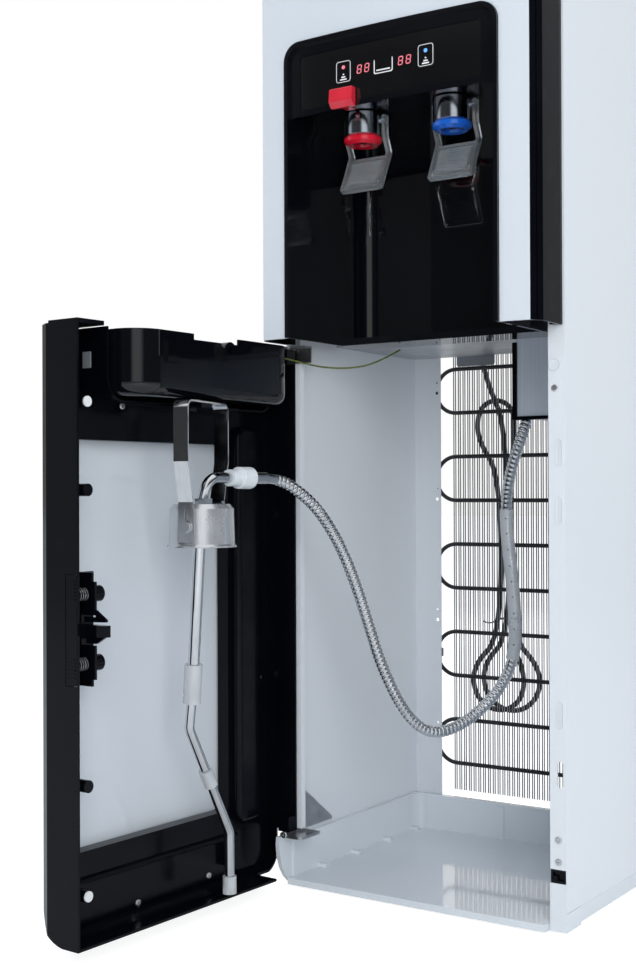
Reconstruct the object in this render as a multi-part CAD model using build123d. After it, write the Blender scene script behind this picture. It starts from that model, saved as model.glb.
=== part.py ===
from build123d import *
import math
import os

os.makedirs("parts", exist_ok=True)

# ---------------------------------------------------------------------------
# Bottom load water cooler. Millimetres, +Z up, the front faces -Y, +X is to the
# right of somebody who stands before it. The origin lies on the floor, midway
# between the side panels and midway between their front and rear flanges.
# Door pieces are drawn with the door closed and then swung to its rest pose.
# ---------------------------------------------------------------------------

# Cabinet
cabinet_width = 310.0
cabinet_depth = 264.0
cabinet_height = 1040.0
sheet = 1.0
half_width = cabinet_width / 2
front = -cabinet_depth / 2
rear = cabinet_depth / 2
bay_top = 555.4
side_bottom = 19.0
cover_bottom = 1014.0
front_flange = 16.5
front_hem = 7.0
rear_flange = 35.0
flange_bottom = 58.0

# Front face: white centre, black side bands, gently bowed in plan
front_depth = 53.0
front_bow = 6.5
side_band = 41.0
face_half = 146.0
band_half = 153.0
skin = 2.5

# Dispensing niche
niche_half = 117.0
niche_rim = 4.5
niche_top = 845.0
niche_corner = 18.0
niche_ceiling = 775.0
niche_back = front + 85.0
niche_raise = 2.5
shelf_front = front + 40.0

# Taps and levers
tap_x = 49.5
tap_y = front - 18.0
tap_radius = 18.0
tap_bottom = 752.0
lever_pivot_z = 768.0
lever_pivot_y = tap_y + 6.0
lever_half = 22.0

# Display
window_half = 99.0
window_bottom = 778.0
window_top = 830.0
key_width = 18.0
key_height = 22.0
key_x = (-47.5, 43.0)
lock_left = -59.0
lock_right = -33.0
key_z = 807.0

# Base
base_front = front - 9.0
tray_floor = 8.0
tray_rim = 48.0
foot_height = 1.5
cheek_top = 52.0

# Door and its hinge line
door_bottom = 12.0
door_top = 553.4
door_gap = 2.5
door_open_deg = 92.5
hinge_x = -148.0
hinge_y = front - 8.5
pin_radius = 3.0
pin_clearance = 0.06
liner_depth = 41.0
foot_corner = 22.0
window_left = -87.0
window_right = 125.0
window_low = 84.5
window_high = 451.0

# Drip tray pocket at the top of the door
pocket_half = 112.0
pocket_back = front + 30.0
pocket_bottom = 488.0
pocket_rim = 547.0
pocket_wall = 2.5
pocket_corner = 28.0

# Latch on the door's free edge
latch_low = 238.5
latch_high = 333.5
spring_z = (256.0, 316.0)
spring_y = front - 10.0

# Suction probe, which hangs under the pocket
probe_x = 27.4
probe_y = front + 28.0
probe_yaw = 15.0
cap_bottom = 354.0
cap_top = 393.0
cap_radius = 29.2
bail_pivot_z = 373.0
bail_top = 486.0
tube_x = 24.3

# Tanks in the upper section
tank_y = front + 150.0

# Pump box under the ceiling of the bay
box_left = 46.8
box_front = front + 118
box_back = front + 208
box_low = 479.0
pipe_x = 126.0
pipe_y = box_front + 32

# Condenser behind the open back
condenser_y = rear + 22.0
tube_radius = 2.4
wire_radius = 0.7
run_pitch = 51.9
run_lowest = 82.0
run_count = 16
run_half = 112.0
riser_x = 146.0
riser_top = 626.0
top_end_x = 110.0

# Cord and hose
hose_radius = 5.9
hose_valley = 5.0
hose_bore = 3.9
hose_cuff = 12.0
hose_rib_pitch = 4.6
hose_exit = (58.0, -2.0, 498.0)
sleeve_radius = 6.8
sleeve_from = 116.0
sleeve_to = 272.0
cord_radius = 3.0
gland_x = -124.0
gland_z = 583.0
rear_panel_bottom = 571.0


def block(x0, x1, y0, y1, z0, z1):
    """A box between two corners."""
    centre = ((x0 + x1) / 2, (y0 + y1) / 2, (z0 + z1) / 2)
    return Pos(*centre) * Box(x1 - x0, y1 - y0, z1 - z0)


def rod(start, end, radius):
    """A round bar between two points."""
    a = Vector(*start)
    b = Vector(*end)
    plane = Plane(origin=a, z_dir=b - a)
    return extrude(plane * Circle(radius), (b - a).length)


def plate_yz(points, x0, x1):
    """A flat plate with a straight-sided outline in Y and Z, from x0 to x1."""
    outline = make_face(Polyline(*[(x0, y, z) for y, z in points], close=True).edges())
    return extrude(outline, amount=x1 - x0, dir=(1, 0, 0))


def plate_xy(points, z0, z1):
    """A flat plate with a straight-sided outline in X and Y, from z0 to z1."""
    outline = make_face(Polyline(*[(x, y, z0) for x, y in points], close=True).edges())
    return extrude(outline, amount=z1 - z0, dir=(0, 0, 1))


def rounded_slab(width, height, depth, corner, x, y, z):
    """A rounded rectangle in X and Z, its front face at y, going back by depth."""
    plane = Plane(origin=(x, y, z), x_dir=(1, 0, 0), z_dir=(0, -1, 0))
    return extrude(plane * RectangleRounded(width, height, corner), -depth)


def write(shape, name):
    """Writes one node, as separate solids where it has several."""
    solids = shape.solids()
    keep = solids[0] if len(solids) == 1 else Compound(children=list(solids))
    export_step(keep, "parts/" + name + ".step")


def on_door(shape):
    """Swings a piece from the closed door to the door's rest pose."""
    axis = Axis((hinge_x, hinge_y, 0), (0, 0, 1))
    return shape.rotate(axis, -door_open_deg)


def door_point(point):
    """The place of a point of the closed door in the rest pose."""
    turn = math.radians(-door_open_deg)
    dx = point[0] - hinge_x
    dy = point[1] - hinge_y
    x = hinge_x + dx * math.cos(turn) - dy * math.sin(turn)
    y = hinge_y + dx * math.sin(turn) + dy * math.cos(turn)
    return (x, y, point[2])


def bowed_prism(inset, half, back, z0, z1):
    """The bowed front as a solid: the face lies inset behind the outer face."""
    side = half - inset
    corner = face_half - inset
    edge_y = front - front_depth + inset
    mid_y = edge_y - front_bow
    a = (-side, back, z0)
    b = (-side, front - side_band, z0)
    c = (-corner, edge_y, z0)
    d = (corner, edge_y, z0)
    e = (side, front - side_band, z0)
    f = (side, back, z0)
    bow = ThreePointArc(c, (0, mid_y, z0), d)
    outline = Polyline(a, b, c).edges() + bow.edges() + Polyline(d, e, f, a).edges()
    return extrude(make_face(outline), amount=z1 - z0, dir=(0, 0, 1))


# ---------------------------------------------------------------------------
# Sheet steel side panels: outer wall, hemmed front flange, wide rear flange
# ---------------------------------------------------------------------------


def side_panel(side):
    """One side panel in 1 mm steel; side is -1 for the left and 1 for the right."""
    inner = half_width - sheet
    wall = block(inner, half_width, front, rear, side_bottom, cover_bottom)
    flange_edge = half_width - front_flange
    flange = block(flange_edge, half_width, front, front + sheet, flange_bottom, cover_bottom)
    hem = block(flange_edge, flange_edge + sheet, front, front + front_hem, flange_bottom, cover_bottom)
    back_edge = half_width - rear_flange
    back = block(back_edge, half_width, rear - sheet, rear, side_bottom, cover_bottom)
    panel = wall + flange + hem + back
    for z in (120.0, 253.0, 395.0, 520.0):
        panel -= rod((125.0, rear - 2, z), (125.0, rear + 1, z), 2.0)
        panel -= rod((125.0, rear - 2, z + 12), (125.0, rear + 1, z + 12), 1.2)
    if side > 0:
        for z in (439.0, 386.0, 199.0, 144.5):
            panel -= rounded_slab(5.5, 24.0, sheet, 2.6, 148.8, front, z)
        panel -= rod((145.2, front - 1, 519.4), (145.2, front + 2, 519.4), 2.2)
    if side > 0:
        panel -= rod((riser_x, rear - 2, riser_top), (riser_x, rear + 1, riser_top), tube_radius + 0.3)
    if side < 0:
        panel -= rod((-gland_x, rear - 2, gland_z), (-gland_x, rear + 1, gland_z), 7.5)
        panel = mirror(panel, Plane.YZ)
    return panel


write(side_panel(-1), "left_side_panel")
write(side_panel(1), "right_side_panel")

# ---------------------------------------------------------------------------
# Top cover, rear panel and the deck that parts the bay from the upper section
# ---------------------------------------------------------------------------


def top_cover():
    """A shallow moulded lid over the side panels and the front panel."""
    lid = bowed_prism(-1.0, band_half + 1.0, rear + 1.0, cover_bottom + 0.4, cabinet_height)
    lid = fillet(lid.edges().group_by(Axis.Z)[-1], 9)
    hollow = bowed_prism(2.5, band_half, rear - 1.5, cover_bottom + 0.4, cabinet_height - 3)
    lid -= hollow
    for x in (-90, -45, 0, 45, 90):
        lid += block(x - 1, x + 1, front - 40, rear - 3, cabinet_height - 9, cabinet_height - 2.5)
    return lid


write(top_cover(), "top_cover")


def rear_panel():
    """The steel back of the upper section: louvres, drain hole and cord hole."""
    edge = half_width - rear_flange + 18
    panel = block(-edge, edge, rear + 0.1, rear + 1.1, rear_panel_bottom, cover_bottom)
    inner_edge = half_width - rear_flange - 1
    panel += block(-inner_edge, inner_edge, rear - 14, rear + 1.1, rear_panel_bottom, rear_panel_bottom + 1)
    for row in range(6):
        for x in (-70, 0, 70):
            z = 930.0 - row * 12
            panel -= block(x - 24, x + 24, rear - 1, rear + 3, z, z + 4)
            panel += plate_yz(
                [
                    (rear + 1.05, z + 4.4),
                    (rear + 4.6, z + 0.6),
                    (rear + 4.6, z - 0.2),
                    (rear + 1.05, z + 3.4),
                ],
                x - 24,
                x + 24,
            )
    panel -= rod((gland_x, rear - 2, gland_z), (gland_x, rear + 3, gland_z), 7.05)
    top_run = run_lowest + (run_count - 1) * run_pitch
    panel -= rod((top_end_x, rear - 2, top_run), (top_end_x, rear + 3, top_run), tube_radius + 0.3)
    return panel


write(rear_panel(), "rear_panel")


def deck_plate():
    """Folded steel deck on which compressor and tanks stand."""
    inner = half_width - sheet - 0.3
    plate = block(-inner, inner, front + 92, rear - 1.2, 561.0, 562.2)
    plate += block(-inner, inner, front + 92, front + 93.2, 561.0, 574.0)
    plate += block(-inner, inner, rear - 2.4, rear - 1.2, 561.0, 570.5)
    for x in (-60, 60):
        plate += block(x - 15, x + 15, front + 110, rear - 20, 562.0, 564.5)
    plate -= rod((pipe_x, pipe_y, 555), (pipe_x, pipe_y, 570), 7)
    return plate


write(deck_plate(), "deck_plate")

# ---------------------------------------------------------------------------
# Base: one white moulding, open to the front, with feet and front cheeks
# ---------------------------------------------------------------------------


def base_tray():
    """The tray that the bottle stands in, its feet and its front cheeks."""
    side = half_width - sheet - 0.5
    body = block(-side, side, front + 0.5, rear - sheet - 0.3, 3.0, tray_rim)
    body += block(-150, 137, base_front, front + 2, foot_height, tray_floor)
    hollow = block(-148.5, 148.5, base_front - 1, rear - 9, tray_floor, tray_rim + 1)
    body -= fillet(hollow.edges().filter_by(Axis.Z).group_by(Axis.Y)[-1], 14)
    body -= fillet(block(-128, 128, front + 14, rear - 22, 0, 5.2).edges().filter_by(Axis.Z), 16)
    # outer skirt and four foot blocks under the side panels
    for x0, x1 in ((-half_width, -side), (side, half_width)):
        body += block(x0, x1, front, front + 31.5, foot_height, side_bottom - 0.4)
        body += block(x0, x1, rear - 36, rear - 1.3, foot_height, side_bottom - 0.4)
    for x0, x1 in ((-side - 0.1, -side + 26), (side - 26, side + 0.1)):
        body += block(x0, x1, front, front + 31.5, foot_height, 4.0)
        body += block(x0, x1, rear - 36, rear - 1.3, foot_height, 4.0)
    # left cheek, which follows the foot of the closed door
    cheek = [
        (front - 0.05, cheek_top),
        (front - 22, cheek_top),
        (front - 23, 44),
        (front - 21.5, 32),
        (front - 17.5, 20),
        (front - 11, 10),
        (front - 3, 3),
        (front - 0.05, foot_height),
    ]
    body += plate_yz(cheek, -half_width, -half_width + 4.6)
    body += block(-side, -half_width + 4.6, front - 1, front + 12, 4, cheek_top)
    # right post under the flange, with its rounded outer corner
    post = block(138.6, half_width, front - 1.0, front - 0.05, foot_height, 45.5)
    body += fillet(post.edges().filter_by(Axis.Y).group_by(Axis.X)[-1].sort_by(Axis.Z)[0:1], 12)
    body += block(138.6, side, front - 0.1, front + 12, foot_height, 45.5)
    body -= block(138.6, half_width, front - 2, front + 9.6, 45.5, tray_rim + 1)
    # low ribs along the foot of the left wall, and on the right
    for y in (front + 47, front + 112, front + 178, front + 240):
        body += block(-148.7, -138, y - 2.5, y + 2.5, tray_floor - 0.2, tray_floor + 3.2)
        body += block(138, 148.7, y - 2.5, y + 2.5, tray_floor - 0.2, tray_floor + 3.2)
    # rear wall pilasters
    for x in (-40.0, 40.0):
        body += block(x - 5, x + 5, rear - 11, rear - 8.8, tray_floor - 0.2, tray_rim - 3)
    return body


write(base_tray(), "base_tray")


def foot_pads():
    """Four round glides under the foot blocks."""
    pads = []
    for x in (-138, 138):
        for y in (front + 15, rear - 19):
            pads.append(rod((x, y, 0), (x, y, foot_height), 9.0))
    return Compound(children=pads)


write(foot_pads(), "foot_pads")


def hinge_slot_plug():
    """Black blank in the slot where a left-hand door would have its hinge."""
    plug = block(139.2, 153.8, front - 0.3, front + 9, 45.6, 57.4)
    recess = block(141.2, 152.0, front - 1, front + 2.5, 48.0, 55.6)
    return plug - recess + block(141.0, 145.5, front, front + 3, 47.9, 52.0)


write(hinge_slot_plug(), "hinge_slot_plug")

# ---------------------------------------------------------------------------
# Upper front: white bowed skin, black side trims, gloss black niche
# ---------------------------------------------------------------------------


def niche_outline(half, top, corner, bottom):
    """The niche's arch as a solid that runs right through the front."""
    y0 = front - 80
    y1 = front - 30
    opening = block(-half, half, y0, y1, bottom, top)
    upper = opening.edges().filter_by(Axis.Y).group_by(Axis.Z)[-1]
    return fillet(upper, corner)


def upper_front_panel():
    """White bowed skin with returns, bosses and the cut-out for the niche."""
    outer = bowed_prism(0, band_half, front - 30, bay_top, cover_bottom)
    inner = bowed_prism(skin, band_half, front - 29, bay_top - 1, cover_bottom + 1)
    keep = block(-face_half + 0.1, face_half - 0.1, front - 80, front - 40, bay_top, cover_bottom)
    panel = (outer - inner) & keep
    for x in (-133, 133):
        panel += block(x - 1, x + 1, front - 53, front - 34, bay_top + 6, cover_bottom - 6)
    panel += block(-135, 135, front - 52, front - 36, cover_bottom - 3, cover_bottom - 1)
    return panel - niche_outline(niche_half, niche_top, niche_corner, bay_top - 5)


write(upper_front_panel(), "upper_front_panel")


def side_trim(side, z0, z1):
    """Black side band with its slanted, grooved front edge, from z0 to z1."""
    wall = 2.4
    slant_x = band_half - face_half
    slant_y = front_depth - side_band
    points = [
        (band_half, front - 0.2),
        (band_half, front - side_band),
        (band_half - slant_x * 0.44, front - side_band - slant_y * 0.44),
        (band_half - slant_x * 0.44 - 0.8, front - side_band - slant_y * 0.44 + 0.5),
        (band_half - slant_x * 0.56 - 0.8, front - side_band - slant_y * 0.56 + 0.5),
        (band_half - slant_x * 0.56, front - side_band - slant_y * 0.56),
        (face_half, front - front_depth),
        (face_half, front - front_depth + skin + 2),
        (band_half - wall, front - side_band + 1),
        (band_half - wall, front - 9),
        (band_half - 9, front - 9),
        (band_half - 9, front - 0.2),
    ]
    trim = plate_xy([(side * x, y) for x, y in points], z0, z1)
    return trim


write(
    Compound(children=[side_trim(-1, bay_top, cover_bottom), side_trim(1, bay_top, cover_bottom)]),
    "front_trims",
)


def niche_bezel(z0, z1, top, bottom, inner_top, inner_bottom):
    """The raised gloss frame round the niche, following the bowed face."""
    slab = bowed_prism(-niche_raise, band_half + 4, front - 44, z0, z1)
    outer = niche_outline(niche_half - 0.3, top, niche_corner, bottom)
    inner = niche_outline(niche_half - niche_rim, inner_top, niche_corner - 3, inner_bottom)
    return (slab & outer) - inner


def niche_liner():
    """Gloss black liner: bezel, display fascia, ceiling, cheeks, back, shelf."""
    wall = 3.0
    inner_half = niche_half - niche_rim
    outer_half = inner_half + wall
    low = bay_top + 0.4
    liner = niche_bezel(low, niche_top + 5, niche_top - 0.3, low - 5, niche_top - niche_rim, low - 6)
    # fascia that carries the display, slightly set back behind the bezel
    fascia_solid = bowed_prism(1.5, band_half, front - 40, niche_ceiling - wall, niche_top - 2)
    fascia_core = bowed_prism(1.5 + wall, band_half, front - 39, niche_ceiling - 9, niche_top + 1)
    reach = inner_half + 1
    span = block(-reach, reach, front - 80, front - 30, niche_ceiling - wall, niche_top - 2.5)
    arch = niche_outline(niche_half - 0.3, niche_top - 0.3, niche_corner, low)
    liner += (fascia_solid - fascia_core) & span & arch
    # niche box: cheeks, back with round corners, ceiling and short shelf
    outside = block(-outer_half, outer_half, front - 60, niche_back + wall, low, niche_ceiling + wall)
    outside = fillet(outside.edges().filter_by(Axis.Z).group_by(Axis.Y)[-1], 21)
    outside &= bowed_prism(2.0, band_half, niche_back + wall, low, niche_ceiling + wall)
    inside = block(-inner_half, inner_half, front - 90, niche_back, low + wall, niche_ceiling)
    inside = fillet(inside.edges().filter_by(Axis.Z).group_by(Axis.Y)[-1], 18)
    mouth = block(-inner_half, inner_half, front - 90, shelf_front, low - 1, low + wall + 1)
    liner += outside - inside - mouth
    # splash rib on the shelf edge
    liner += block(-inner_half, inner_half, shelf_front, shelf_front + 2, low + 0.5, low + 7)
    # way for the child lock's stem, holes for the tap necks and the display window
    liner -= block(lock_left + 8, lock_right - 7, front - 70, front - 44, 766, 776.2)
    liner -= block(lock_left + 8, lock_right - 7, front - 51.5, front - 44, 766, 779)
    for x in (-tap_x, tap_x):
        liner -= rod((x, tap_y, niche_ceiling - 2), (x, tap_y, niche_ceiling + 6), 9.1)
    liner -= rounded_slab(
        2 * window_half + 0.6,
        window_top - window_bottom + 0.6,
        14,
        3.3,
        0,
        front - 64,
        (window_top + window_bottom) / 2,
    )
    return liner


write(niche_liner(), "niche_liner")


def display_window():
    """Gloss black lens with a bevelled edge and two key openings."""
    slab = bowed_prism(2.2, band_half, front - 40, window_bottom, window_top)
    core = bowed_prism(5.2, band_half, front - 39, window_bottom - 1, window_top + 1)
    plate = rounded_slab(
        2 * window_half,
        window_top - window_bottom,
        30,
        3,
        0,
        front - 64,
        (window_top + window_bottom) / 2,
    )
    lens = (slab - core) & plate
    for x in key_x:
        lens -= rounded_slab(key_width + 0.6, key_height + 0.6, 30, 3.3, x, front - 64, key_z)
    return lens


write(display_window(), "display_window")


def key(x):
    """A push key: cap in the lens opening, flange behind it, plunger to the board."""
    bow_here = front_bow * (1 - (x / face_half) ** 2)
    face_y = front - front_depth - bow_here + 2.4
    cap = rounded_slab(key_width, key_height, 5.0, 3, x, face_y, key_z)
    cap = fillet(cap.edges().group_by(Axis.Y)[0], 0.6)
    flange = rounded_slab(key_width + 4, key_height + 4, 1.2, 4, x, face_y + 3.7, key_z)
    plunger = rod((x, face_y + 4.5, key_z), (x, face_y + 7.75, key_z), 2.0)
    return cap + flange + plunger


write(key(key_x[0]), "hot_key")
write(key(key_x[1]), "cold_key")


def display_board():
    """Circuit board with two digit blocks, the key switches and a plug."""
    y = front - 46.0
    board = block(-88, 88, y, y + 1.6, window_bottom + 3, window_top - 3)
    for x in (-25.0, 20.5):
        board += block(x - 9, x + 9, y - 7.5, y + 0.1, key_z - 8, key_z + 8)
    for x in key_x:
        board += block(x - 3, x + 3, y - 1.6, y + 0.1, key_z - 3, key_z + 3)
    board += block(66, 82, y + 1.5, y + 8, key_z - 14, key_z - 6)
    return board


write(display_board(), "display_board")

# ---------------------------------------------------------------------------
# Taps: body, coloured outlet ring, clear push lever; child lock on the hot one
# ---------------------------------------------------------------------------


def tap_body(x):
    """Turned tap body with a neck into the ceiling and two lever bosses."""
    profile = Polyline(
        (2.6, 746),
        (8.0, 746),
        (8.0, tap_bottom),
        (tap_radius - 1, tap_bottom),
        (tap_radius, tap_bottom + 1),
        (tap_radius, niche_ceiling - 1.2),
        (9.0, niche_ceiling - 1.2),
        (9.0, niche_ceiling + 22),
        (4.5, niche_ceiling + 22),
        (4.5, 760),
        (2.6, 757),
        close=True,
    )
    outline = make_face([Plane.XZ * e for e in profile.edges()])
    body = Pos(x, tap_y, 0) * revolve(outline, Axis.Z)
    reach = lever_half - 2.4
    bosses = rod((x - reach, lever_pivot_y, lever_pivot_z), (x + reach, lever_pivot_y, lever_pivot_z), 4.2)
    core = Pos(x, tap_y, 0) * Pos(0, 0, 766) * Cylinder(tap_radius - 1, 40)
    body += bosses - core
    pin_left = (x - lever_half, lever_pivot_y, lever_pivot_z)
    pin_right = (x + lever_half, lever_pivot_y, lever_pivot_z)
    pins = rod(pin_left, pin_right, 1.7)
    return body + (pins - core)


write(tap_body(-tap_x), "hot_tap_body")
write(tap_body(tap_x), "cold_tap_body")


def tap_ring(x):
    """Coloured collar round the outlet, domed below, hole in the middle."""
    profile = Polyline(
        (8.1, 751.8),
        (17.5, 751.8),
        (19.0, 750.0),
        (18.6, 746.5),
        (14.5, 743.6),
        (8.1, 744.4),
        close=True,
    )
    outline = make_face([Plane.XZ * e for e in profile.edges()])
    return Pos(x, tap_y, 0) * revolve(outline, Axis.Z)


write(tap_ring(-tap_x), "hot_tap_ring")
write(tap_ring(tap_x), "cold_tap_ring")


def lever(x):
    """Clear push lever: two cranked arms, a bridge and a framed paddle."""
    arm_path = [
        (lever_pivot_y - 3.6, lever_pivot_z + 4),
        (lever_pivot_y + 3.6, lever_pivot_z + 4),
        (lever_pivot_y + 4.0, 752),
        (lever_pivot_y + 11.0, 737),
        (lever_pivot_y - 7.5, 699),
        (lever_pivot_y - 12.5, 701),
        (lever_pivot_y + 4.0, 737),
        (lever_pivot_y - 3.6, 752),
    ]
    body = plate_yz(arm_path, x - lever_half - 1.2, x - lever_half + 2.2)
    body += plate_yz(arm_path, x + lever_half - 2.2, x + lever_half + 1.2)
    paddle = [
        (lever_pivot_y + 6.6, 730.5),
        (lever_pivot_y + 3.9, 732.0),
        (lever_pivot_y - 12.5, 701.0),
        (lever_pivot_y - 9.8, 699.8),
    ]
    body += plate_yz(paddle, x - lever_half, x + lever_half)
    top_rail = [
        (lever_pivot_y + 8.6, 731.5),
        (lever_pivot_y + 3.9, 734.0),
        (lever_pivot_y + 1.4, 729.0),
        (lever_pivot_y + 6.0, 726.6),
    ]
    body += plate_yz(top_rail, x - lever_half, x + lever_half)
    low_rail = [
        (lever_pivot_y - 6.4, 705.2),
        (lever_pivot_y - 11.2, 707.6),
        (lever_pivot_y - 14.8, 700.8),
        (lever_pivot_y - 9.0, 698.0),
    ]
    body += plate_yz(low_rail, x - lever_half, x + lever_half)
    pivot = (lever_pivot_y, lever_pivot_z)
    hole = rod((x - 30, *pivot), (x + 30, *pivot), 1.75)
    return body - hole


write(lever(-tap_x), "hot_lever")
write(lever(tap_x), "cold_lever")


def child_lock():
    """Red safety button before the fascia, its stem led back under the window."""
    face_y = front - 58.1
    profile = [
        (face_y, 790.0),
        (face_y - 5.0, 790.0),
        (face_y - 6.0, 789.0),
        (face_y - 7.0, 777.0),
        (face_y - 2.5, 771.6),
        (face_y, 771.6),
    ]
    button = plate_yz(profile, lock_left, lock_right)
    button = fillet(button.edges().filter_by(Axis.Y), 1.2)
    stem = block(lock_left + 9, lock_right - 8, face_y - 1, front - 45.4, 772.4, 774.8)
    riser = block(lock_left + 10, lock_right - 9, front - 50, front - 45.4, 772.4, 780.4)
    return button + stem + riser


write(child_lock(), "child_lock")

# ---------------------------------------------------------------------------
# Inside the upper section: tanks, compressor, controls
# ---------------------------------------------------------------------------


def cold_tank():
    """Stainless cold tank, domed at both ends, with its outlet stub."""
    tank = fillet((Pos(0, tank_y, 880) * Cylinder(70, 150)).edges(), 22)
    tank -= fillet((Pos(0, tank_y, 880) * Cylinder(69.2, 148.4)).edges(), 21.2)
    inlet = rod((0, tank_y, 770), (0, tank_y, 812), 5)
    outlet = rod((30, tank_y - 50, 840), (30, tank_y - 112, 840), 5)
    return tank + inlet + outlet + rod((0, tank_y, 950), (0, tank_y, 975), 9)


def tank_insulation():
    """Two-part foam jacket that the cold tank sits in."""
    jacket = Pos(0, tank_y, 880) * Cylinder(92, 190)
    jacket = fillet(jacket.edges(), 8)
    core = Pos(0, tank_y, 880) * Cylinder(70.3, 150.6)
    core = fillet(core.edges(), 22)
    jacket -= core + rod((0, tank_y, 950), (0, tank_y, 990), 9.4)
    jacket -= rod((0, tank_y, 760), (0, tank_y, 812), 5.4)
    jacket -= rod((30, tank_y - 50, 840), (30, tank_y - 112, 840), 5.4)
    return jacket


write(cold_tank(), "cold_tank")
write(tank_insulation(), "tank_insulation")


def hot_tank():
    """Hot tank with its band heater and two thermostat discs."""
    tank = fillet((Pos(85, front + 200, 680) * Cylinder(42, 130)).edges(), 12)
    tank -= fillet((Pos(85, front + 200, 680) * Cylinder(41, 128)).edges(), 11)
    band = Pos(85, front + 200, 670) * (Cylinder(44.5, 40) - Cylinder(41.9, 41))
    thermostat = rod((85, front + 152, 722), (85, front + 162, 722), 9)
    return tank + band + thermostat + rod((85, front + 200, 740), (85, front + 200, 757), 4)


write(hot_tank(), "hot_tank")


def compressor():
    """Hermetic compressor: drawn shell in two halves, feet, stubs and relay."""
    lower = Pos(-78, front + 190, 598) * Cylinder(56, 62)
    lower = fillet(lower.edges().group_by(Axis.Z)[0], 16)
    upper = Pos(-78, front + 190, 660) * Cylinder(54, 62)
    upper = fillet(upper.edges().group_by(Axis.Z)[-1], 26)
    seam = Pos(-78, front + 190, 629) * Cylinder(58.5, 5)
    body = lower + upper + seam
    for x in (-134, -22):
        body += block(x - 9, x + 9, front + 172, front + 208, 564.7, 567.5)
    body += block(-140, -16, front + 176, front + 204, 564.7, 567.8)
    for x, z in ((-98, 640), (-58, 646)):
        body += rod((x, front + 150, z), (x, front + 132, z), 3.2)
    return body


write(compressor(), "compressor")


def control_board():
    """Mains control board on its plastic carrier, beside the compressor."""
    carrier = block(-150, -147, front + 100, front + 180, 760, 860)
    board = block(-146.9, -145.3, front + 104, front + 176, 764, 856)
    board += block(-145.4, -125, front + 110, front + 140, 770, 800)
    board += block(-145.4, -130, front + 148, front + 170, 812, 846)
    return carrier, board


carrier_part, board_part = control_board()
backing = block(-147.1, -146.8, front + 104, front + 176, 764, 856)
write(carrier_part + board_part + backing, "control_board")

# ---------------------------------------------------------------------------
# Pump box under the ceiling of the bay, with the pump in it
# ---------------------------------------------------------------------------



def pump_box():
    """Folded stainless box, screwed to the right side panel and the deck."""
    right = half_width - sheet - 0.2
    outer = block(box_left, right, box_front, box_back, box_low, 560.8)
    outer = fillet(outer.edges().filter_by(Axis.Z).group_by(Axis.X)[0], 3)
    inner = block(box_left + 1.2, right - 1.2, box_front + 1.2, box_back - 1.2, box_low + 1.2, 559.6)
    box = outer - inner
    hose_hole = rod((57.0, -3.4, box_low - 2), (57.0, -3.4, box_low + 3), 7.8)
    return box - hose_hole - rod((pipe_x, pipe_y, 555), (pipe_x, pipe_y, 570), 7)


write(pump_box(), "pump_box")


def box_edging():
    """Black rubber edging along the box's left and lower front edges."""
    low = box_low
    edge = block(box_left - 1.6, box_left + 3.4, box_front - 1.8, box_front - 0.05, low - 2.4, 556.0)
    edge += block(box_left - 1.6, 138.0, box_front - 1.8, box_front - 0.05, low - 2.4, low + 1.2)
    edge += block(box_left - 1.6, 138.0, box_front - 1.8, box_front + 6, low - 2.4, low - 0.05)
    edge += block(box_left - 1.6, box_left - 0.05, box_front - 1.8, box_front + 6, low - 2.4, 556.0)
    hose_hole = rod((box_left + 10, box_front + 9, low - 4), (box_left + 10, box_front + 9, low + 3), 7.5)
    return edge - hose_hole


write(box_edging(), "box_edging")


def pump():
    """Diaphragm pump and its motor, lying in the box."""
    y = box_front + 44
    motor = rod((70, y, 520), (112, y, 520), 17)
    head = rod((112, y, 520), (136, y, 520), 22)
    ports = rod((pipe_x, pipe_y, 535), (pipe_x, pipe_y, 552), 4)
    ports += rod((pipe_x, y + 12, 535), (pipe_x, y + 12, 552), 4)
    saddle = block(74, 134, y - 20, y + 20, box_low + 1.3, 500.5)
    corner = (hose_exit[0], y, 508)
    path = FilletPolyline((72, y, 508), corner, (*hose_exit[:2], 508), hose_exit, radius=8)
    inlet = sweep(Plane(origin=(72, y, 508), z_dir=(-1, 0, 0)) * Circle(hose_valley), path=path)
    return motor + head + ports + saddle + inlet


write(pump(), "pump")

# ---------------------------------------------------------------------------
# Condenser: one bent tube with wires welded to both sides of it
# ---------------------------------------------------------------------------


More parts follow.
